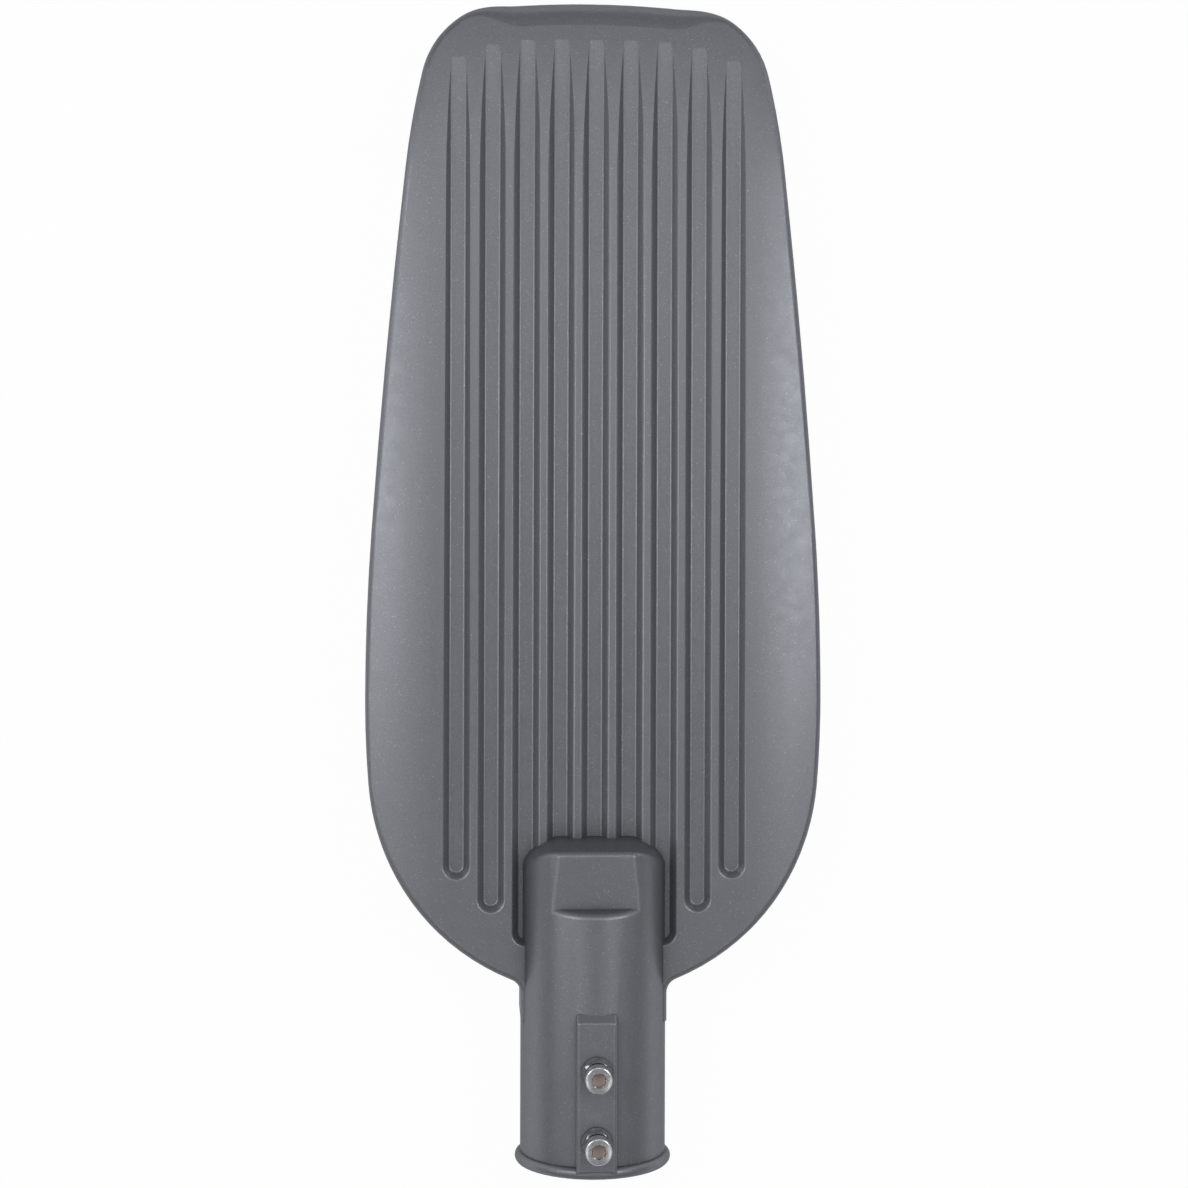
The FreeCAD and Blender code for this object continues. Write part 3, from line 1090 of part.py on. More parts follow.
def driver_bay_parts():
    x, y, top = "0", "sizes.driver_centre_y", "sizes.driver_top_z"
    case_length = "(sizes.driver_length - 2 * sizes.driver_cap)"
    centred_box("driver_case", x, y, top, case_length, "sizes.driver_width", "sizes.driver_height")
    holes_x = DRIVER_BOSS_X
    for name, side in (("driver_input_cap", 1), ("driver_output_cap", -1)):
        cap = centred_box(name + "_block", f"{side} * ({case_length} + sizes.driver_cap) / 2", y, top,
                          "sizes.driver_cap", "sizes.driver_width", "sizes.driver_height")
        ear = centred_box(name + "_ear", f"{side} * {holes_x}", y, top, "sizes.driver_flange", "sizes.driver_flange_width",
                          "sizes.driver_flange_thickness")
        hole = cylinder(name + "_hole", "sizes.screw_radius + sizes.screw_clearance", "20",
                        f"{side} * {holes_x}", y, f"{top} - 10")
        cut(name, fuse(name + "_eared", cap, ear), hole)
    group("driver_screws", [screw_up(f"driver_screw_{side + 2}", f"{side} * {holes_x}", y,
                                     f"{top} - sizes.driver_flange_thickness", "sizes.screw_radius",
                                     "sizes.inner_screw_length", "sizes.screw_head_radius") for side in (-1, 1)])
    block = centred_box("terminal_block_body", "sizes.terminal_x", "sizes.terminal_y", "sizes.terminal_top_z",
                        "sizes.terminal_length", "sizes.terminal_width", "sizes.terminal_height")
    low = "(sizes.terminal_top_z - sizes.terminal_height)"
    ways = int(size.terminal_ways)
    wells, screws = [], []
    for way in range(ways):
        along = f"sizes.terminal_x + {way - (ways - 1) / 2} * sizes.terminal_length / {ways}"
        wells.append(cylinder(f"terminal_well_{way + 1}", "sizes.terminal_well_radius",
                              "sizes.terminal_screw_rise + sizes.terminal_screw_height", along,
                              "sizes.terminal_y", low))
        wells.append(cylinder(f"terminal_entry_{way + 1}", "sizes.terminal_entry_radius",
                              "sizes.terminal_width + 2", along,
                              "sizes.terminal_y - sizes.terminal_width / 2 - 1",
                              f"{low} + sizes.terminal_way_rise", ALONG_Y))
        screw = cylinder(f"terminal_screw_blank_{way + 1}", "sizes.terminal_screw_radius",
                         "sizes.terminal_screw_height", along, "sizes.terminal_y",
                         f"{low} + sizes.terminal_screw_rise")
        slot = centred_box(f"terminal_screw_slot_{way + 1}", along, "sizes.terminal_y",
                           f"{low} + sizes.terminal_screw_rise + sizes.terminal_slot",
                           "3 * sizes.terminal_screw_radius", "sizes.terminal_slot", "sizes.terminal_slot")
        screws.append(cut(f"terminal_screw_{way + 1}", screw, slot))
    cut("terminal_block", block, *wells)
    group("terminal_block_screws", screws)
    surge = centred_box("surge_block", "sizes.surge_x", "sizes.surge_y", "sizes.surge_top_z",
                        "sizes.surge_length", "sizes.surge_width", "sizes.surge_height")
    rounded("surge_protector", surge, size.surge_round, lambda edge: edge.BoundBox.ZLength > 1)
    bar = centred_box("cable_clamp_bar", "0", "sizes.clamp_y", "sizes.clamp_top_z", "sizes.clamp_length",
                      "sizes.clamp_width", "sizes.clamp_thickness")
    arch = cylinder("cable_clamp_arch", "sizes.clamp_arch", "sizes.clamp_width + 2", "0",
                    "sizes.clamp_y - sizes.clamp_width / 2 - 1", "sizes.clamp_top_z + sizes.clamp_arch / 2", ALONG_Y)
    holes = [cylinder(f"cable_clamp_hole_{index}", "sizes.screw_radius + sizes.screw_clearance", "20", place,
                      "sizes.clamp_y", "sizes.clamp_top_z - 10") for index, place in enumerate(CLAMP_PLACES, start=1)]
    cut("cable_clamp", bar, arch, *holes)
    group("cable_clamp_screws", [screw_up(f"cable_clamp_screw_{index}", place, "sizes.clamp_y",
                                          "sizes.clamp_top_z - sizes.clamp_thickness", "sizes.screw_radius",
                                          "sizes.screw_length", "sizes.screw_head_radius")
                                 for index, place in enumerate(CLAMP_PLACES, start=1)])
    screw_up("earth_screw", "sizes.earth_x", "sizes.clamp_y", "sizes.earth_top_z", "sizes.screw_radius",
             "sizes.inner_screw_length", "sizes.screw_head_radius")


def gland():
    """The cable gland in the end wall, from the cable chamber into the driver bay."""
    face = BAY_REAR
    wall = "(sizes.bore_depth + sizes.chamber_depth)"
    hexed = hexagon("gland_body_hexagon", "sizes.gland_flats", "sizes.gland_flange", y=face, rotation=ALONG_Y)
    thread = cylinder("gland_body_thread", "sizes.gland_thread_radius",
                      "sizes.gland_thread_inner + sizes.end_wall + 1",
                      y=f"{wall} - sizes.gland_thread_inner", rotation=ALONG_Y)
    neck = cylinder("gland_body_neck", "sizes.gland_neck", "2 * sizes.gland_flange", y=f"{face} + 2",
                    rotation=ALONG_Y)
    bore = cylinder("gland_body_bore", "sizes.gland_bore", "60", y=f"{wall} - 30", rotation=ALONG_Y)
    seat = cylinder("gland_body_seat", "sizes.gland_seal_radius + 0.1", "30",
                    y=f"{face} + sizes.gland_flange + 2", rotation=ALONG_Y)
    cut("gland_body", fuse("gland_body_blank", hexed, thread, neck), bore, seat)
    nut = hexagon("gland_locknut_hexagon", "sizes.gland_flats", "sizes.gland_locknut",
                  y=f"{wall} - sizes.gland_locknut", rotation=ALONG_Y)
    cut("gland_locknut", nut, cylinder("gland_locknut_hole", "sizes.gland_thread_radius + sizes.bolt_clearance",
                                       "40", y=f"{wall} - 20", rotation=ALONG_Y))
    seal_y = f"({face} + sizes.gland_flange + 2)"
    cut("gland_seal", cylinder("gland_seal_outside", "sizes.gland_seal_radius", "sizes.gland_seal_length",
                               y=seal_y, rotation=ALONG_Y),
        cylinder("gland_seal_hole", "sizes.gland_seal_bore", "40", y=f"{seal_y} - 10", rotation=ALONG_Y))
    cap_y = f"({face} + sizes.gland_flange + sizes.seat_gap)"
    neck_end = f"({face} + 2 + 2 * sizes.gland_flange + sizes.seat_gap)"
    grip = hexagon("gland_cap_hexagon", "sizes.gland_cap_flats", "sizes.gland_cap_grip", y=cap_y,
                   rotation=ALONG_Y)
    dome = bind(add("Part::Cone", "gland_cap_dome"), Radius1="sizes.gland_cap_flats / 2 - 0.5",
                Radius2="sizes.gland_seal_radius + 0.6", Height="sizes.gland_cap_taper")
    dome.Placement = Placement(Vector(), ALONG_Y)
    bind(dome, Placement__Base__y=f"{cap_y} + sizes.gland_cap_grip")
    inside = turned("gland_cap_inside", [
        ("0", f"{cap_y} - 1"),
        ("sizes.gland_neck + 0.1", f"{cap_y} - 1"),
        ("sizes.gland_neck + 0.1", neck_end),
        ("sizes.gland_seal_radius + 0.1", neck_end),
        ("sizes.gland_seal_radius + 0.1", f"{seal_y} + sizes.gland_seal_length"),
        ("sizes.gland_bore", f"{seal_y} + sizes.gland_seal_length"),
        ("sizes.gland_bore", f"{cap_y} + 40"),
        ("0", f"{cap_y} + 40")])
    cut("gland_cap_nut", fuse("gland_cap_blank", grip, dome), inside)


def leads():
    """The two leads inside, each from the face that it leaves to the face that it enters."""
    driver_end = size.driver_length / 2
    last_way = size.terminal_x + size.terminal_length * 3 / 8
    way_z = size.terminal_top_z - size.terminal_height + size.terminal_way_rise
    into_driver_y = size.driver_centre_y - size.driver_wire_in
    lead("input_lead", [
        (last_way, size.terminal_y + size.terminal_width / 2, way_z),
        (last_way, into_driver_y, way_z),
        (driver_end, into_driver_y, way_z)])
    out_y = size.driver_centre_y + size.driver_wire_out
    plug_z = size.pedestal_z - size.pad_thickness - size.board_thickness - size.connector_height / 2
    lead("output_lead", [
        (-driver_end, out_y, size.lead_start_z),
        (size.lead_x, out_y, size.lead_start_z),
        (size.lead_x, size.connector_y, plug_z),
        (size.connector_x - size.connector_length / 2, size.connector_y, plug_z)])


housing()
for bolt_place in ("outer", "inner"):
    clamp_bolt(bolt_place)
optics()
driver_cover()
driver_bay_parts()
gland()
leads()

NODES = ["housing", "clamp_bolt_outer", "clamp_bolt_inner", "lock_nut_outer", "lock_nut_inner",
         "thermal_pad", "led_board", "led_chips", "board_connector", "board_screws",
         "lens_plate", "lens_gasket", "lens_frame", "lens_frame_screws",
         "driver_cover", "driver_cover_gasket", "driver_cover_screws",
         "driver_case", "driver_input_cap", "driver_output_cap", "driver_screws",
         "terminal_block", "terminal_block_screws", "surge_protector", "earth_screw",
         "gland_body", "gland_locknut", "gland_seal", "gland_cap_nut",
         "cable_clamp", "cable_clamp_screws", "input_lead", "output_lead"]

doc.recompute()
failed = [thing.Name for thing in doc.Objects if {"Invalid", "Error"} & set(thing.State)]
if failed:
    raise RuntimeError(f"not built: {failed}")
for node in NODES:
    shape = doc.getObject(node).Shape
    if shape.isNull() or not shape.isValid() or not shape.Solids:
        raise RuntimeError(f"no valid solid in {node}")
os.makedirs("parts", exist_ok=True)
for node in NODES:
    doc.getObject(node).Shape.exportStep(f"parts/{node}.step")
print(f"{len(NODES)} nodes written")
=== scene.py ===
"""Looks of the street light head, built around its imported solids. Metres, +Y towards the tip, +Z up."""
import logging
import math
from dataclasses import dataclass, field
from enum import Enum
from functools import cache

import bmesh
import bpy
from mathutils import Matrix, Vector


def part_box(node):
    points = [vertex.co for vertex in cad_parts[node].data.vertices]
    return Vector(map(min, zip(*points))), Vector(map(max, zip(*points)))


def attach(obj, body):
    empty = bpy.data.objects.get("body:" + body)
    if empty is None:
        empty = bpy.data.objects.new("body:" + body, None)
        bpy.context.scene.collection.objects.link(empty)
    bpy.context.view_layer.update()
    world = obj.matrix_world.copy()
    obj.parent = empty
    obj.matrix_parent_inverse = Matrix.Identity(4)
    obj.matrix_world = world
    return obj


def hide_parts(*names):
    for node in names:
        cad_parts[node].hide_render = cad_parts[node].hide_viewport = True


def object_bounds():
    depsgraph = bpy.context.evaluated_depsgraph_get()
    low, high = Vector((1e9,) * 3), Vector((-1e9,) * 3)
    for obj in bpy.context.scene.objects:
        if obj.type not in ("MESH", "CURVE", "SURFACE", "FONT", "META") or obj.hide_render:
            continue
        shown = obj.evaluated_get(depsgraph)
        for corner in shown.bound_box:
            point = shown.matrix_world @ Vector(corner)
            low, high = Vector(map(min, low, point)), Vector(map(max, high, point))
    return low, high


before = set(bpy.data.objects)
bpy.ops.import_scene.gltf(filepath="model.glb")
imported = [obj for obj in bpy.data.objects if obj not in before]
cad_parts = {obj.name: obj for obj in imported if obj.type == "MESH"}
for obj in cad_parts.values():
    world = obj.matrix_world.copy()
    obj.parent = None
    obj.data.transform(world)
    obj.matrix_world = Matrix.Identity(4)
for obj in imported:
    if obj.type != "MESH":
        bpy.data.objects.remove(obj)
CAD_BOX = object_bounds()
LOG = logging.getLogger("street_light_head")
MM = 0.001
SAME_PLACE = 1e-6  # corners closer than this are one
CREASE_ANGLE = math.radians(28.0)  # edges sharper than this stay crisp
NOISE_LOW = 0.3  # most of a noise lies between these two
NOISE_HIGH = 0.7
CAVITY_RAYS = 8  # rays that look for the walls of a hollow
BLACK = (0.0, 0.0, 0.0)
WHITE = (1.0, 1.0, 1.0)


# Finishes

@dataclass
class Grain:
    """Nodes that several finishes share, in one material's tree. Sizes are in metres."""

    tree: bpy.types.NodeTree
    place: bpy.types.NodeSocket = field(init=False)

    def __post_init__(self) -> None:
        """Starts from the piece's own coordinates."""
        self.place = self.tree.nodes.new("ShaderNodeTexCoord").outputs["Object"]

    def noise(self, size: float, detail: float) -> bpy.types.NodeSocket:
        """Cloudy noise from 0 to 1.

        Args:
            size: width of one cloud.
            detail: how many finer layers it has.

        Returns:
            The noise.
        """
        noise = self.tree.nodes.new("ShaderNodeTexNoise")
        noise.inputs["Scale"].default_value = 1.0 / size
        noise.inputs["Detail"].default_value = detail
        self.tree.links.new(self.place, noise.inputs["Vector"])
        return noise.outputs["Fac"]

    def flakes(self, size: float) -> bpy.types.NodeSocket:
        """A random number from 0 to 1 in each small cell.

        Args:
            size: width of one cell.

        Returns:
            The number.
        """
        cells = self.tree.nodes.new("ShaderNodeTexVoronoi")
        cells.inputs["Scale"].default_value = 1.0 / size
        self.tree.links.new(self.place, cells.inputs["Vector"])
        split = self.tree.nodes.new("ShaderNodeSeparateColor")
        self.tree.links.new(cells.outputs["Color"], split.inputs["Color"])
        return split.outputs["Red"]

    def cavity(self, reach: float) -> bpy.types.NodeSocket:
        """How open the surface lies, from 0 in a hole to 1 on a crest.

        Args:
            reach: how far other surfaces count.

        Returns:
            The openness.
        """
        hollow = self.tree.nodes.new("ShaderNodeAmbientOcclusion")
        hollow.only_local = True
        hollow.samples = CAVITY_RAYS
        hollow.inputs["Distance"].default_value = reach
        return hollow.outputs["AO"]

    def ramp(self, source: bpy.types.NodeSocket, low: float, high: float, start: float,
             end: float) -> bpy.types.NodeSocket:
        """A number mapped straight from one range to another, held at its ends.

        Args:
            source: the number.
            low: value of the source that gives start.
            high: value of the source that gives end.
            start: first end of the new range.
            end: other end of the new range.

        Returns:
            The mapped number.
        """
        mapped = self.tree.nodes.new("ShaderNodeMapRange")
        for socket, number in (("From Min", low), ("From Max", high), ("To Min", start), ("To Max", end)):
            mapped.inputs[socket].default_value = number
        self.tree.links.new(source, mapped.inputs["Value"])
        return mapped.outputs["Result"]

    def clouds(self, size: float, detail: float, start: float, end: float) -> bpy.types.NodeSocket:
        """Noise whose middle part is stretched over a range."""
        return self.ramp(self.noise(size, detail), NOISE_LOW, NOISE_HIGH, start, end)

    def blend(self, share: bpy.types.NodeSocket, first: tuple[float, float, float],
              second: tuple[float, float, float]) -> bpy.types.NodeSocket:
        """A colour between two.

        Args:
            share: 0 for the first colour and 1 for the second.
            first: linear colour.
            second: linear colour.

        Returns:
            The colour.
        """
        mix = self.tree.nodes.new("ShaderNodeMix")
        mix.data_type = "RGBA"
        mix.inputs["A"].default_value = (*first, 1.0)
        mix.inputs["B"].default_value = (*second, 1.0)
        self.tree.links.new(share, mix.inputs["Factor"])
        return mix.outputs["Result"]

    def cover(self, share: bpy.types.NodeSocket, pattern: bpy.types.NodeSocket,
              colour: tuple[float, float, float]) -> bpy.types.NodeSocket:
        """A pattern that one colour covers.

        Args:
            share: 0 for the pattern and 1 for the colour.
            pattern: the pattern's colour.
            colour: linear colour.

        Returns:
            The colour.
        """
        result = self.blend(share, BLACK, colour)
        self.tree.links.new(pattern, result.node.inputs["A"])
        return result

    def vary_gloss(self, shader: bpy.types.Node, size: float, detail: float, middle: float,
                   spread: float) -> None:
        """Lets the shader's roughness wander in clouds by a spread about its middle."""
        rough = self.clouds(size, detail, middle - spread, middle + spread)
        self.tree.links.new(rough, shader.inputs["Roughness"])

    def bump(self, shader: bpy.types.Node, size: float, detail: float, depth: float) -> None:
        """Lets the surface rise and fall in noise.

        Args:
            shader: the Principled shader.
            size: width of one bump.
            detail: how many finer layers the bumps have.
            depth: height of the bumps.
        """
        bump = self.tree.nodes.new("ShaderNodeBump")
        bump.inputs["Distance"].default_value = depth
        bump.inputs["Strength"].default_value = 1.0
        self.tree.links.new(self.noise(size, detail), bump.inputs["Height"])
        self.tree.links.new(bump.outputs["Normal"], shader.inputs["Normal"])


@dataclass(frozen=True)
class Finish:
    """A finish with one colour all over; its subclasses add grain. Sizes are in metres, colours linear."""

    name: str
    colour: tuple[float, float, float]
    roughness: float
    metallic: float = 0.0
    ior: float = 1.5

    def material(self) -> bpy.types.Material:
        """Makes the material.

        Returns:
            The new material, with its grain.
        """
        material = bpy.data.materials.new(self.name)
        material.use_nodes = True
        shader = material.node_tree.nodes["Principled BSDF"]
        shader.inputs["Base Color"].default_value = (*self.colour, 1.0)
        shader.inputs["Roughness"].default_value = self.roughness
        shader.inputs["Metallic"].default_value = self.metallic
        shader.inputs["IOR"].default_value = self.ior
        material.diffuse_color = (*self.colour, 1.0)
        self.add_grain(Grain(material.node_tree), shader)
        return material

    def add_grain(self, grain: Grain, shader: bpy.types.Node) -> None:
        """Adds nothing, as a plain finish has no grain."""


@dataclass(frozen=True)
class PowderCoat(Finish):
    """Textured powder coat: mottled, with fine metal flakes, orange peel and painted shade that darkens its
    colour in hollows.
    """

    mottle: float = 0.08
    mottle_size: float = 0.8 * MM
    flake: tuple[float, float, float] = (0.62, 0.63, 0.66)
    flake_size: float = 0.34 * MM
    flake_share: float = 0.013
    flake_cover: float = 0.55
    edge_tint: tuple[float, float, float] = (0.25, 0.25, 0.26)
    gloss_size: float = 6.0 * MM
    gloss_spread: float = 0.03
    peel_size: float = 1.1 * MM
    peel_depth: float = 0.012 * MM
    # cavity settings: where and how strongly shade is painted into the coat's colour in hollows
    cavity_reach: float = 14.0 * MM
    cavity_closed: float = 0.5
    cavity_open: float = 0.93
    painted_shade_darkness: float = 0.42

    def add_grain(self, grain: Grain, shader: bpy.types.Node) -> None:
        """Adds mottle, painted shade in hollows, flakes, gloss clouds and orange peel.

        Args:
            grain: maker of the nodes.
            shader: the Principled shader.
        """
        dark = tuple(part * (1.0 - self.mottle) for part in self.colour)
        pale = tuple(part * (1.0 + self.mottle) for part in self.colour)
        body = grain.blend(grain.clouds(self.mottle_size, 3.0, 0.0, 1.0), dark, pale)
        # painted shade: ambient occlusion darkens the coat's colour in hollows, where shade falls
        painted_shade_share = grain.ramp(grain.cavity(self.cavity_reach), self.cavity_closed, self.cavity_open,
                          self.painted_shade_darkness, 0.0)
        body = grain.cover(painted_shade_share, body, BLACK)
        bare = grain.ramp(grain.flakes(self.flake_size), 1.0 - self.flake_share, 1.0, 0.0, self.flake_cover)
        grain.tree.links.new(grain.cover(bare, body, self.flake), shader.inputs["Base Color"])
        shader.inputs["Specular Tint"].default_value = (*self.edge_tint, 1.0)
        grain.vary_gloss(shader, self.gloss_size, 2.0, self.roughness, self.gloss_spread)
        grain.bump(shader, self.peel_size, 3.0, self.peel_depth)


@dataclass(frozen=True)
class PlainMetal(Finish):
    """Bare or plated metal whose gloss varies in small clouds."""

    cloud_size: float = 1.5 * MM
    spread: float = 0.06

    def add_grain(self, grain: Grain, shader: bpy.types.Node) -> None:
        """Varies the gloss a little."""
        grain.vary_gloss(shader, self.cloud_size, 4.0, self.roughness, self.spread)


@dataclass(frozen=True)
class Moulded(Finish):
    """A moulded plastic or rubber with a fine matt skin."""

    skin_size: float = 0.5 * MM
    skin_depth: float = 0.008 * MM

    def add_grain(self, grain: Grain, shader: bpy.types.Node) -> None:
        """Adds the skin's fine bumps."""
        grain.bump(shader, self.skin_size, 2.0, self.skin_depth)


@dataclass(frozen=True)
class ClearMoulding(Finish):
    """Clear polycarbonate."""

    def add_grain(self, grain: Grain, shader: bpy.types.Node) -> None:
        """Lets the light through."""
        shader.inputs["Transmission Weight"].default_value = 1.0


class Look(Enum):
    """The finishes of this lamp head."""

    COAT = PowderCoat("housing powder coat", (0.215, 0.222, 0.242), roughness=0.39, metallic=0.6, ior=1.35)
    BRIGHT_STEEL = PlainMetal("bright fastener steel", (0.74, 0.73, 0.75), roughness=0.2, metallic=1.0)
    SOCKET_FLOOR = PlainMetal("socket floor steel", (0.34, 0.27, 0.23), roughness=0.45, metallic=0.35)
    NUT_STEEL = PlainMetal("bright nut steel", (0.44, 0.43, 0.44), roughness=0.13, metallic=1.0, spread=0.04)
    SCREW_STEEL = PlainMetal("screw steel", (0.5, 0.5, 0.5), roughness=0.3, metallic=1.0)
    LENS = ClearMoulding("clear lens", (0.94, 0.96, 0.97), roughness=0.05, ior=1.58)
    SILICONE = Moulded("silicone seal", (0.6, 0.6, 0.58), roughness=0.65)
    PAD = Moulded("thermal pad", (0.3, 0.32, 0.36), roughness=0.8)
    BOARD = Moulded("board solder mask", (0.82, 0.83, 0.82), roughness=0.4)
    PHOSPHOR = Moulded("chip phosphor", (0.85, 0.62, 0.1), roughness=0.45)
    CONNECTOR = Moulded("connector nylon", (0.75, 0.75, 0.71), roughness=0.5)
    DRIVER_METAL = PlainMetal("driver aluminium", (0.55, 0.56, 0.57), roughness=0.4, metallic=1.0)
    DRIVER_PLASTIC = Moulded("driver plastic", (0.03, 0.03, 0.032), roughness=0.5)
    TERMINAL = Moulded("terminal nylon", (0.7, 0.7, 0.66), roughness=0.45)
    SURGE = Moulded("surge module plastic", (0.4, 0.05, 0.03), roughness=0.35)
    GLAND = Moulded("gland nylon", (0.025, 0.025, 0.027), roughness=0.5)
    RUBBER = Moulded("seal rubber", (0.02, 0.02, 0.02), roughness=0.75)
    BRASS = PlainMetal("brass", (0.68, 0.45, 0.18), roughness=0.28, metallic=1.0)
    SHEATH = Moulded("lead sheath", (0.03, 0.03, 0.03), roughness=0.55)


@cache
def material_of(look: Look) -> bpy.types.Material:
    """The one material of a look, made when it is first asked for."""
    return look.value.material()


def dress(look: Look, *nodes: str) -> None:
    """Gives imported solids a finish.

    Args:
        look: which finish.
        nodes: names of the solids' nodes.
    """
    for name in nodes:
        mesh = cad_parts[name].data
        mesh.materials.clear()
        mesh.materials.append(material_of(look))
        LOG.info("dressed %s as %s", name, look.value.name)


def finished(name: str, work: bmesh.types.BMesh, looks: tuple[Look, ...],
             replaces: tuple[str, ...]) -> None:
    """Turns a bmesh into a piece that rides on the head.

    Args:
        name: what a person calls the piece.
        work: its shape, which is freed.
        looks: its finishes, in the order of the material numbers of its faces.
        replaces: nodes that it stands for.
    """
    bmesh.ops.recalc_face_normals(work, faces=work.faces)
    for face in work.faces:
        face.smooth = True
    for edge in work.edges:
        if len(edge.link_faces) == 2 and edge.calc_face_angle() > CREASE_ANGLE:
            edge.smooth = False
    mesh = bpy.data.meshes.new(name)
    work.to_mesh(mesh)
    work.free()
    piece = bpy.data.objects.new(name, mesh)
    for look in looks:
        mesh.materials.append(material_of(look))
    bpy.context.scene.collection.objects.link(piece)
    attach(piece, "root")
    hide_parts(*replaces)
    LOG.info("built %s with %d faces", name, len(mesh.polygons))


def spun(work: bmesh.types.BMesh, profile: list[tuple[float, float]], steps: int) -> None:
    """Turns a profile once round the Z axis.

    Args:
        work: the bmesh that takes the faces.
        profile: (radius, height) corners from one end to the other.
        steps: how many sides the round gets.
    """
    verts = [work.verts.new((radius, 0.0, height)) for radius, height in profile]
    edges = [work.edges.new(pair) for pair in zip(verts, verts[1:])]
    bmesh.ops.spin(work, geom=verts + edges, cent=(0, 0, 0), axis=(0, 0, 1), angle=math.tau, steps=steps,
                   use_merge=True)
    bmesh.ops.remove_doubles(work, verts=work.verts, dist=SAME_PLACE)


# Clamp screws

@dataclass
class ClampScrew:
    """A socket head clamp screw: knurled head, hexagonal socket and wound thread.

    The flare is the radius of the socket's mouth against that of its corners. The tooth's foot and crest
    are the shares of the pitch at which it leaves the core and reaches its full height.
    """

    node: str
    head_height: float = 8.0 * MM
    head_round: float = 0.7 * MM
    head_round_steps: int = 4
    head_bevel: float = 0.4 * MM
    knurls: int = 60
    knurl_depth: float = 0.16 * MM
    knurl_foot: float = 0.7 * MM
    socket_flats: float = 6.0 * MM
    socket_depth: float = 4.0 * MM
    socket_lead: float = 0.5 * MM
    socket_flare: float = 1.04
    socket_point: float = 1.0 * MM
    shank_radius: float = 4.0 * MM
    shank_bevel: float = 0.4 * MM
    shank_sides: int = 24
    thread_pitch: float = 1.25 * MM
    thread_depth: float = 0.68 * MM
    thread_start: float = 0.3 * MM
    tooth_root: float = 0.1 * MM
    tooth_foot: float = 0.06
    tooth_crest: float = 0.44
    low: Vector = field(init=False)
    high: Vector = field(init=False)

    def __post_init__(self) -> None:
        """Reads the solid's box."""
        self.low, self.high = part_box(self.node)

    @property
    def head_radius(self) -> float:
        """Radius of the head."""
        return (self.high.x - self.low.x) / 2

    @property
    def length(self) -> float:
        """Length under the head."""
        return self.high.z - self.low.z - self.head_height

    @property
    def socket_radius(self) -> float:
        """Radius of the socket's corners."""
        return self.socket_flats / math.sqrt(3)

    def head(self, work: bmesh.types.BMesh) -> None:
        """Turns the head, knurls its side and sinks the socket.

        Args:
            work: the bmesh that takes the faces.
        """
        radius, top = self.head_radius, self.length + self.head_height
        foot = [(0.0, self.length), (radius - self.head_bevel, self.length),
                (radius, self.length + self.head_bevel), (radius, self.length + self.knurl_foot)]
        angles = [math.radians(90.0 * step / self.head_round_steps)
                  for step in range(self.head_round_steps, -1, -1)]
        rounding = [(radius - self.head_round * (1 - math.sin(angle)),
                     top - self.head_round * (1 - math.cos(angle))) for angle in angles]
        rim = (self.socket_radius * self.socket_flare, top)
        spun(work, [*foot, *rounding, rim], 2 * self.knurls)
        self.knurl(work, radius)
        self.socket(work, top)

    def knurl(self, work: bmesh.types.BMesh, radius: float) -> None:
        """Draws in every other column of the head's side.

        Args:
            work: the bmesh with the turned head.
            radius: the head's radius.
        """
        step = math.tau / (2 * self.knurls)
        for vert in work.verts:
            if abs(math.hypot(vert.co.x, vert.co.y) - radius) > SAME_PLACE:
                continue
            if round(math.atan2(vert.co.y, vert.co.x) / step) % 2:
                vert.co.xy *= 1.0 - self.knurl_depth / radius

    def socket(self, work: bmesh.types.BMesh, top: float) -> None:
        """Sinks the hexagonal socket with its lead-in and its drilled point.

        Args:
            work: the bmesh with the turned head, open at the socket.
            top: height of the head's top.
        """
        rim = [edge for edge in work.edges if edge.is_boundary]
        hexagon = bmesh.ops.create_circle(work, segments=6, radius=self.socket_radius,
                                          matrix=Matrix.Translation((0, 0, top - self.socket_lead)))["verts"]
        ring = {edge for vert in hexagon for edge in vert.link_edges}
        bmesh.ops.bridge_loops(work, edges=[*rim, *ring])
        walls = bmesh.ops.extrude_edge_only(work, edges=list(ring))["geom"]
        lowered = [item for item in walls if isinstance(item, bmesh.types.BMVert)]
        bmesh.ops.translate(work, verts=lowered, vec=(0, 0, self.socket_lead - self.socket_depth))
        point = work.verts.new((0, 0, top - self.socket_depth - self.socket_point))
        for edge in [item for item in walls if isinstance(item, bmesh.types.BMEdge)]:
            if all(vert in lowered for vert in edge.verts):
                work.faces.new((*edge.verts, point)).material_index = 1

    def thread(self, work: bmesh.types.BMesh) -> None:
        """Turns the core and winds the thread's tooth round it.

        Args:
            work: the bmesh that takes the faces.
        """
        core = self.shank_radius - self.thread_depth
        spun(work, [(0.0, 0.0), (core - self.shank_bevel, 0.0), (core, self.shank_bevel), (core, self.length),
                    (0.0, self.length)], self.shank_sides)
        root = core - self.tooth_root
        radii = (root, core, self.shank_radius, self.shank_radius, core, root)
        shares = (0.0, self.tooth_foot, self.tooth_crest, 1.0 - self.tooth_crest, 1.0 - self.tooth_foot, 1.0)
        tooth = [work.verts.new((radius, 0, self.thread_start + share * self.thread_pitch))
                 for radius, share in zip(radii, shares)]
        turns = (self.length - self.thread_start) / self.thread_pitch - 1.0
        steps = round(self.shank_sides * turns)
        bmesh.ops.spin(work, geom=[work.faces.new(tooth)], cent=(0, 0, 0), axis=(0, 0, 1),
                       dvec=(0, 0, turns * self.thread_pitch / steps), angle=math.tau * turns, steps=steps)

    def build(self) -> None:
        """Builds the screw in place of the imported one."""
        work = bmesh.new()
        self.head(work)
        self.thread(work)
        centre = (self.low + self.high) / 2
        bmesh.ops.translate(work, verts=work.verts, vec=(centre.x, centre.y, self.low.z))
        finished(self.node.replace("clamp_bolt", "clamp_screw"), work, (Look.BRIGHT_STEEL, Look.SOCKET_FLOOR),
                 (self.node,))


# Sub-assemblies

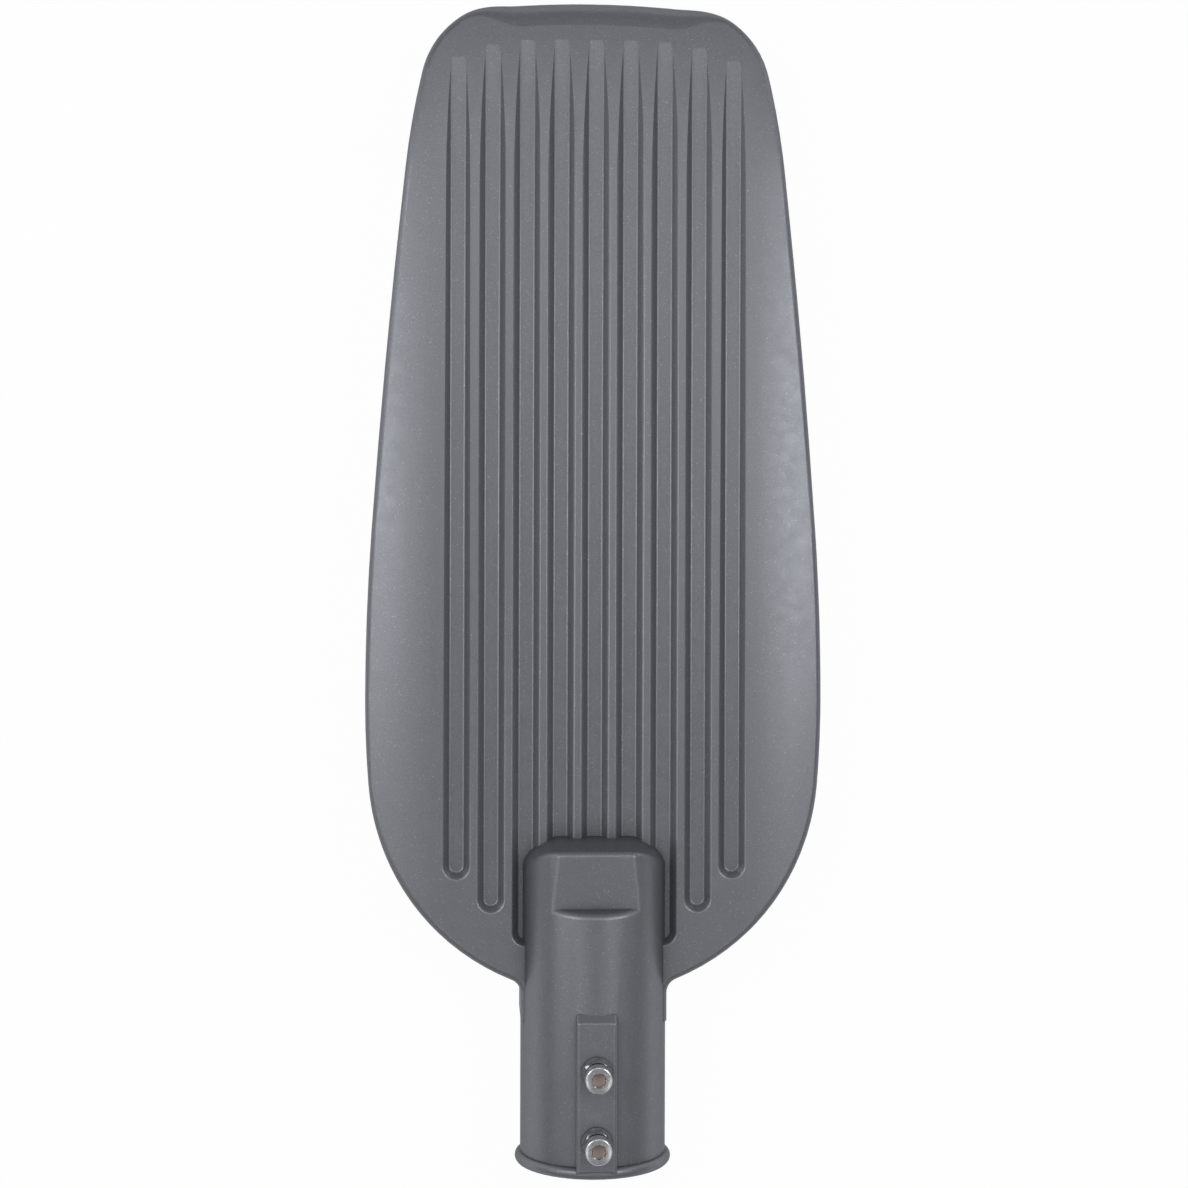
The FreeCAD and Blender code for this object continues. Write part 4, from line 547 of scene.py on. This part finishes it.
@dataclass
class Casting:
    """The die-cast housing with the screws that clamp it on its pole."""

    places: tuple[str, ...] = ("outer", "inner")

    def build(self) -> None:
        """Dresses the housing and nuts, and builds the clamp screws."""
        dress(Look.COAT, "housing")
        dress(Look.NUT_STEEL, *(f"lock_nut_{place}" for place in self.places))
        for place in self.places:
            ClampScrew(f"clamp_bolt_{place}").build()


@dataclass
class Optics:
    """Board, lens plate and the frame that clamps them."""

    def build(self) -> None:
        """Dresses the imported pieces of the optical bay."""
        dress(Look.PAD, "thermal_pad")
        dress(Look.BOARD, "led_board")
        dress(Look.PHOSPHOR, "led_chips")
        dress(Look.CONNECTOR, "board_connector")
        dress(Look.LENS, "lens_plate")
        dress(Look.SILICONE, "lens_gasket")
        dress(Look.COAT, "lens_frame")
        dress(Look.SCREW_STEEL, "lens_frame_screws", "board_screws")


@dataclass
class DriverBay:
    """Driver, terminals, gland and surge module under their cover."""

    def build(self) -> None:
        """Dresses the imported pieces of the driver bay."""
        dress(Look.COAT, "driver_cover")
        dress(Look.SILICONE, "driver_cover_gasket")
        dress(Look.SCREW_STEEL, "driver_cover_screws", "driver_screws", "cable_clamp_screws")
        dress(Look.DRIVER_METAL, "driver_case")
        dress(Look.DRIVER_PLASTIC, "driver_input_cap", "driver_output_cap")
        dress(Look.TERMINAL, "terminal_block")
        dress(Look.BRASS, "terminal_block_screws", "earth_screw")
        dress(Look.SURGE, "surge_protector")
        dress(Look.GLAND, "gland_body", "gland_locknut", "gland_cap_nut", "cable_clamp")
        dress(Look.RUBBER, "gland_seal")
        dress(Look.SHEATH, "input_lead", "output_lead")


# Studio

@dataclass(frozen=True)
class SoftBox:
    """A rectangular soft light that faces a point of the head. Lengths are in metres, power in watts."""

    name: str
    place: tuple[float, float, float]
    power: float
    target: tuple[float, float, float] = (0.0, 0.35, 0.0)
    width: float = 0.5
    height: float = 0.5

    def build(self) -> None:
        """Hangs the light."""
        light = bpy.data.lights.new(self.name, "AREA")
        light.shape = "RECTANGLE"
        light.size, light.size_y, light.energy = self.width, self.height, self.power
        lamp = bpy.data.objects.new(self.name, light)
        lamp.location = self.place
        lamp.rotation_mode = "QUATERNION"
        lamp.rotation_quaternion = (Vector(self.target) - Vector(self.place)).to_track_quat("-Z", "Y")
        bpy.context.scene.collection.objects.link(lamp)


def shows_white(tree: bpy.types.NodeTree, share: float) -> bpy.types.NodeSocket:
    """A factor for rays that should see a plain white.

    Args:
        tree: tree that takes the nodes.
        share: the factor for such a ray.

    Returns:
        That share for a camera, glossy or transmission ray, else 0.
    """
    path = tree.nodes.new("ShaderNodeLightPath")
    total = path.outputs["Is Camera Ray"]
    for name in ("Is Glossy Ray", "Is Transmission Ray"):
        larger = tree.nodes.new("ShaderNodeMath")
        larger.operation = "MAXIMUM"
        tree.links.new(total, larger.inputs[0])
        tree.links.new(path.outputs[name], larger.inputs[1])
        total = larger.outputs["Value"]
    scaled = tree.nodes.new("ShaderNodeMath")
    scaled.operation = "MULTIPLY"
    scaled.inputs[1].default_value = share
    tree.links.new(total, scaled.inputs[0])
    return scaled.outputs["Value"]


def end_in_mix(tree: bpy.types.NodeTree, share: bpy.types.NodeSocket, first: bpy.types.Node,
               second: bpy.types.Node, output: str) -> None:
    """Ends a tree in a mix of two shaders.

    Args:
        tree: tree that takes the nodes.
        share: 0 for the first shader and 1 for the second.
        first: the one shader.
        second: the other shader.
        output: type of the output node.
    """
    mix = tree.nodes.new("ShaderNodeMixShader")
    tree.links.new(share, mix.inputs[0])
    tree.links.new(first.outputs[0], mix.inputs[1])
    tree.links.new(second.outputs[0], mix.inputs[2])
    tree.links.new(mix.outputs[0], tree.nodes.new(output).inputs["Surface"])


@dataclass
class Studio:
    """Floor, world, soft boxes and the camera above the head. The roll is in degrees, the lens in mm."""

    floor_reach: float = 6.0
    floor_shade: float = 0.8
    floor_own_light: float = 0.975
    sky: tuple[float, float, float] = (0.245, 0.2475, 0.256)
    middle_y: float = 0.2875
    camera_height: float = 1.0555
    camera_aside: float = -0.058
    camera_roll: float = 0.17
    camera_lens: float = 63.0
    camera_sensor: float = 36.0
    soft_boxes: tuple[SoftBox, ...] = (
        SoftBox("left soft box", (-0.62, 0.48, 0.95), power=3.25),
        SoftBox("right soft box", (0.62, 0.45, 0.95), power=3.4),
        SoftBox("left fill", (-1.2, 0.1, 0.9), power=1.4),
        SoftBox("left rim light", (-1.2, 0.8, 0.45), power=1.35),
        SoftBox("right rim light", (1.2, 1.2, 0.5), power=1.3),
        SoftBox("high fill", (0.0, 0.85, 1.4), power=1.4),
        SoftBox("left mouth fill", (-0.42, -0.3, 1.1), power=0.8),
        SoftBox("right mouth fill", (0.5, -0.3, 1.1), power=0.7),
    )

    def floor_material(self) -> bpy.types.Material:
        """Makes the floor's paint, which lights itself where it is seen.

        Returns:
            The new material.
        """
        material = bpy.data.materials.new("studio floor")
        material.use_nodes = True
        tree = material.node_tree
        tree.nodes.clear()
        paint = tree.nodes.new("ShaderNodeBsdfDiffuse")
        paint.inputs["Color"].default_value = (self.floor_shade,) * 3 + (1.0,)
        white = tree.nodes.new("ShaderNodeEmission")
        seen = shows_white(tree, self.floor_own_light)
        end_in_mix(tree, seen, paint, white, "ShaderNodeOutputMaterial")
        return material

    def build_floor(self) -> None:
        """Lays the floor under the head's lowest point."""
        work = bmesh.new()
        bmesh.ops.create_grid(work, x_segments=1, y_segments=1, size=self.floor_reach,
                              matrix=Matrix.Translation((0, self.middle_y, CAD_BOX[0][2])))
        mesh = bpy.data.meshes.new("studio floor")
        work.to_mesh(mesh)
        work.free()
        mesh.materials.append(self.floor_material())
        floor = bpy.data.objects.new("studio floor", mesh)
        bpy.context.scene.collection.objects.link(floor)

    def build_world(self) -> None:
        """Makes a soft sky that the camera sees as white."""
        world = bpy.data.worlds.new("studio sky")
        world.use_nodes = True
        tree = world.node_tree
        tree.nodes.clear()
        sky = tree.nodes.new("ShaderNodeBackground")
        sky.inputs["Color"].default_value = (*self.sky, 1.0)
        white = tree.nodes.new("ShaderNodeBackground")
        white.inputs["Color"].default_value = (*WHITE, 1.0)
        seen = tree.nodes.new("ShaderNodeLightPath").outputs["Is Camera Ray"]
        end_in_mix(tree, seen, sky, white, "ShaderNodeOutputWorld")
        bpy.context.scene.world = world

    def build_camera(self) -> None:
        """Hangs the camera above, a little to the left and turned a little."""
        camera = bpy.data.cameras.new("camera")
        camera.lens, camera.sensor_width = self.camera_lens, self.camera_sensor
        place = Vector((self.camera_aside, self.middle_y, self.camera_height))
        look = (Vector((0.0, self.middle_y, 0.0)) - place).normalized()
        up = Matrix.Rotation(math.radians(self.camera_roll), 3, "Z") @ Vector((0, 1, 0))
        right = look.cross(up).normalized()
        turn = Matrix((right, right.cross(look), -look)).transposed().to_4x4()
        eye = bpy.data.objects.new("camera", camera)
        eye.matrix_world = Matrix.Translation(place) @ turn
        bpy.context.scene.collection.objects.link(eye)
        bpy.context.scene.camera = eye

    def build(self) -> None:
        """Sets up everything around the head."""
        bpy.context.scene.view_settings.view_transform = "Standard"
        self.build_floor()
        self.build_world()
        for soft_box in self.soft_boxes:
            soft_box.build()
        self.build_camera()


def main() -> None:
    """Builds the head's looks and the studio."""
    logging.basicConfig(level=logging.INFO, format="%(message)s")
    for assembly in (Casting(), Optics(), DriverBay(), Studio()):
        assembly.build()
        LOG.info("finished %s", type(assembly).__name__)


if __name__ == "__main__":
    main()
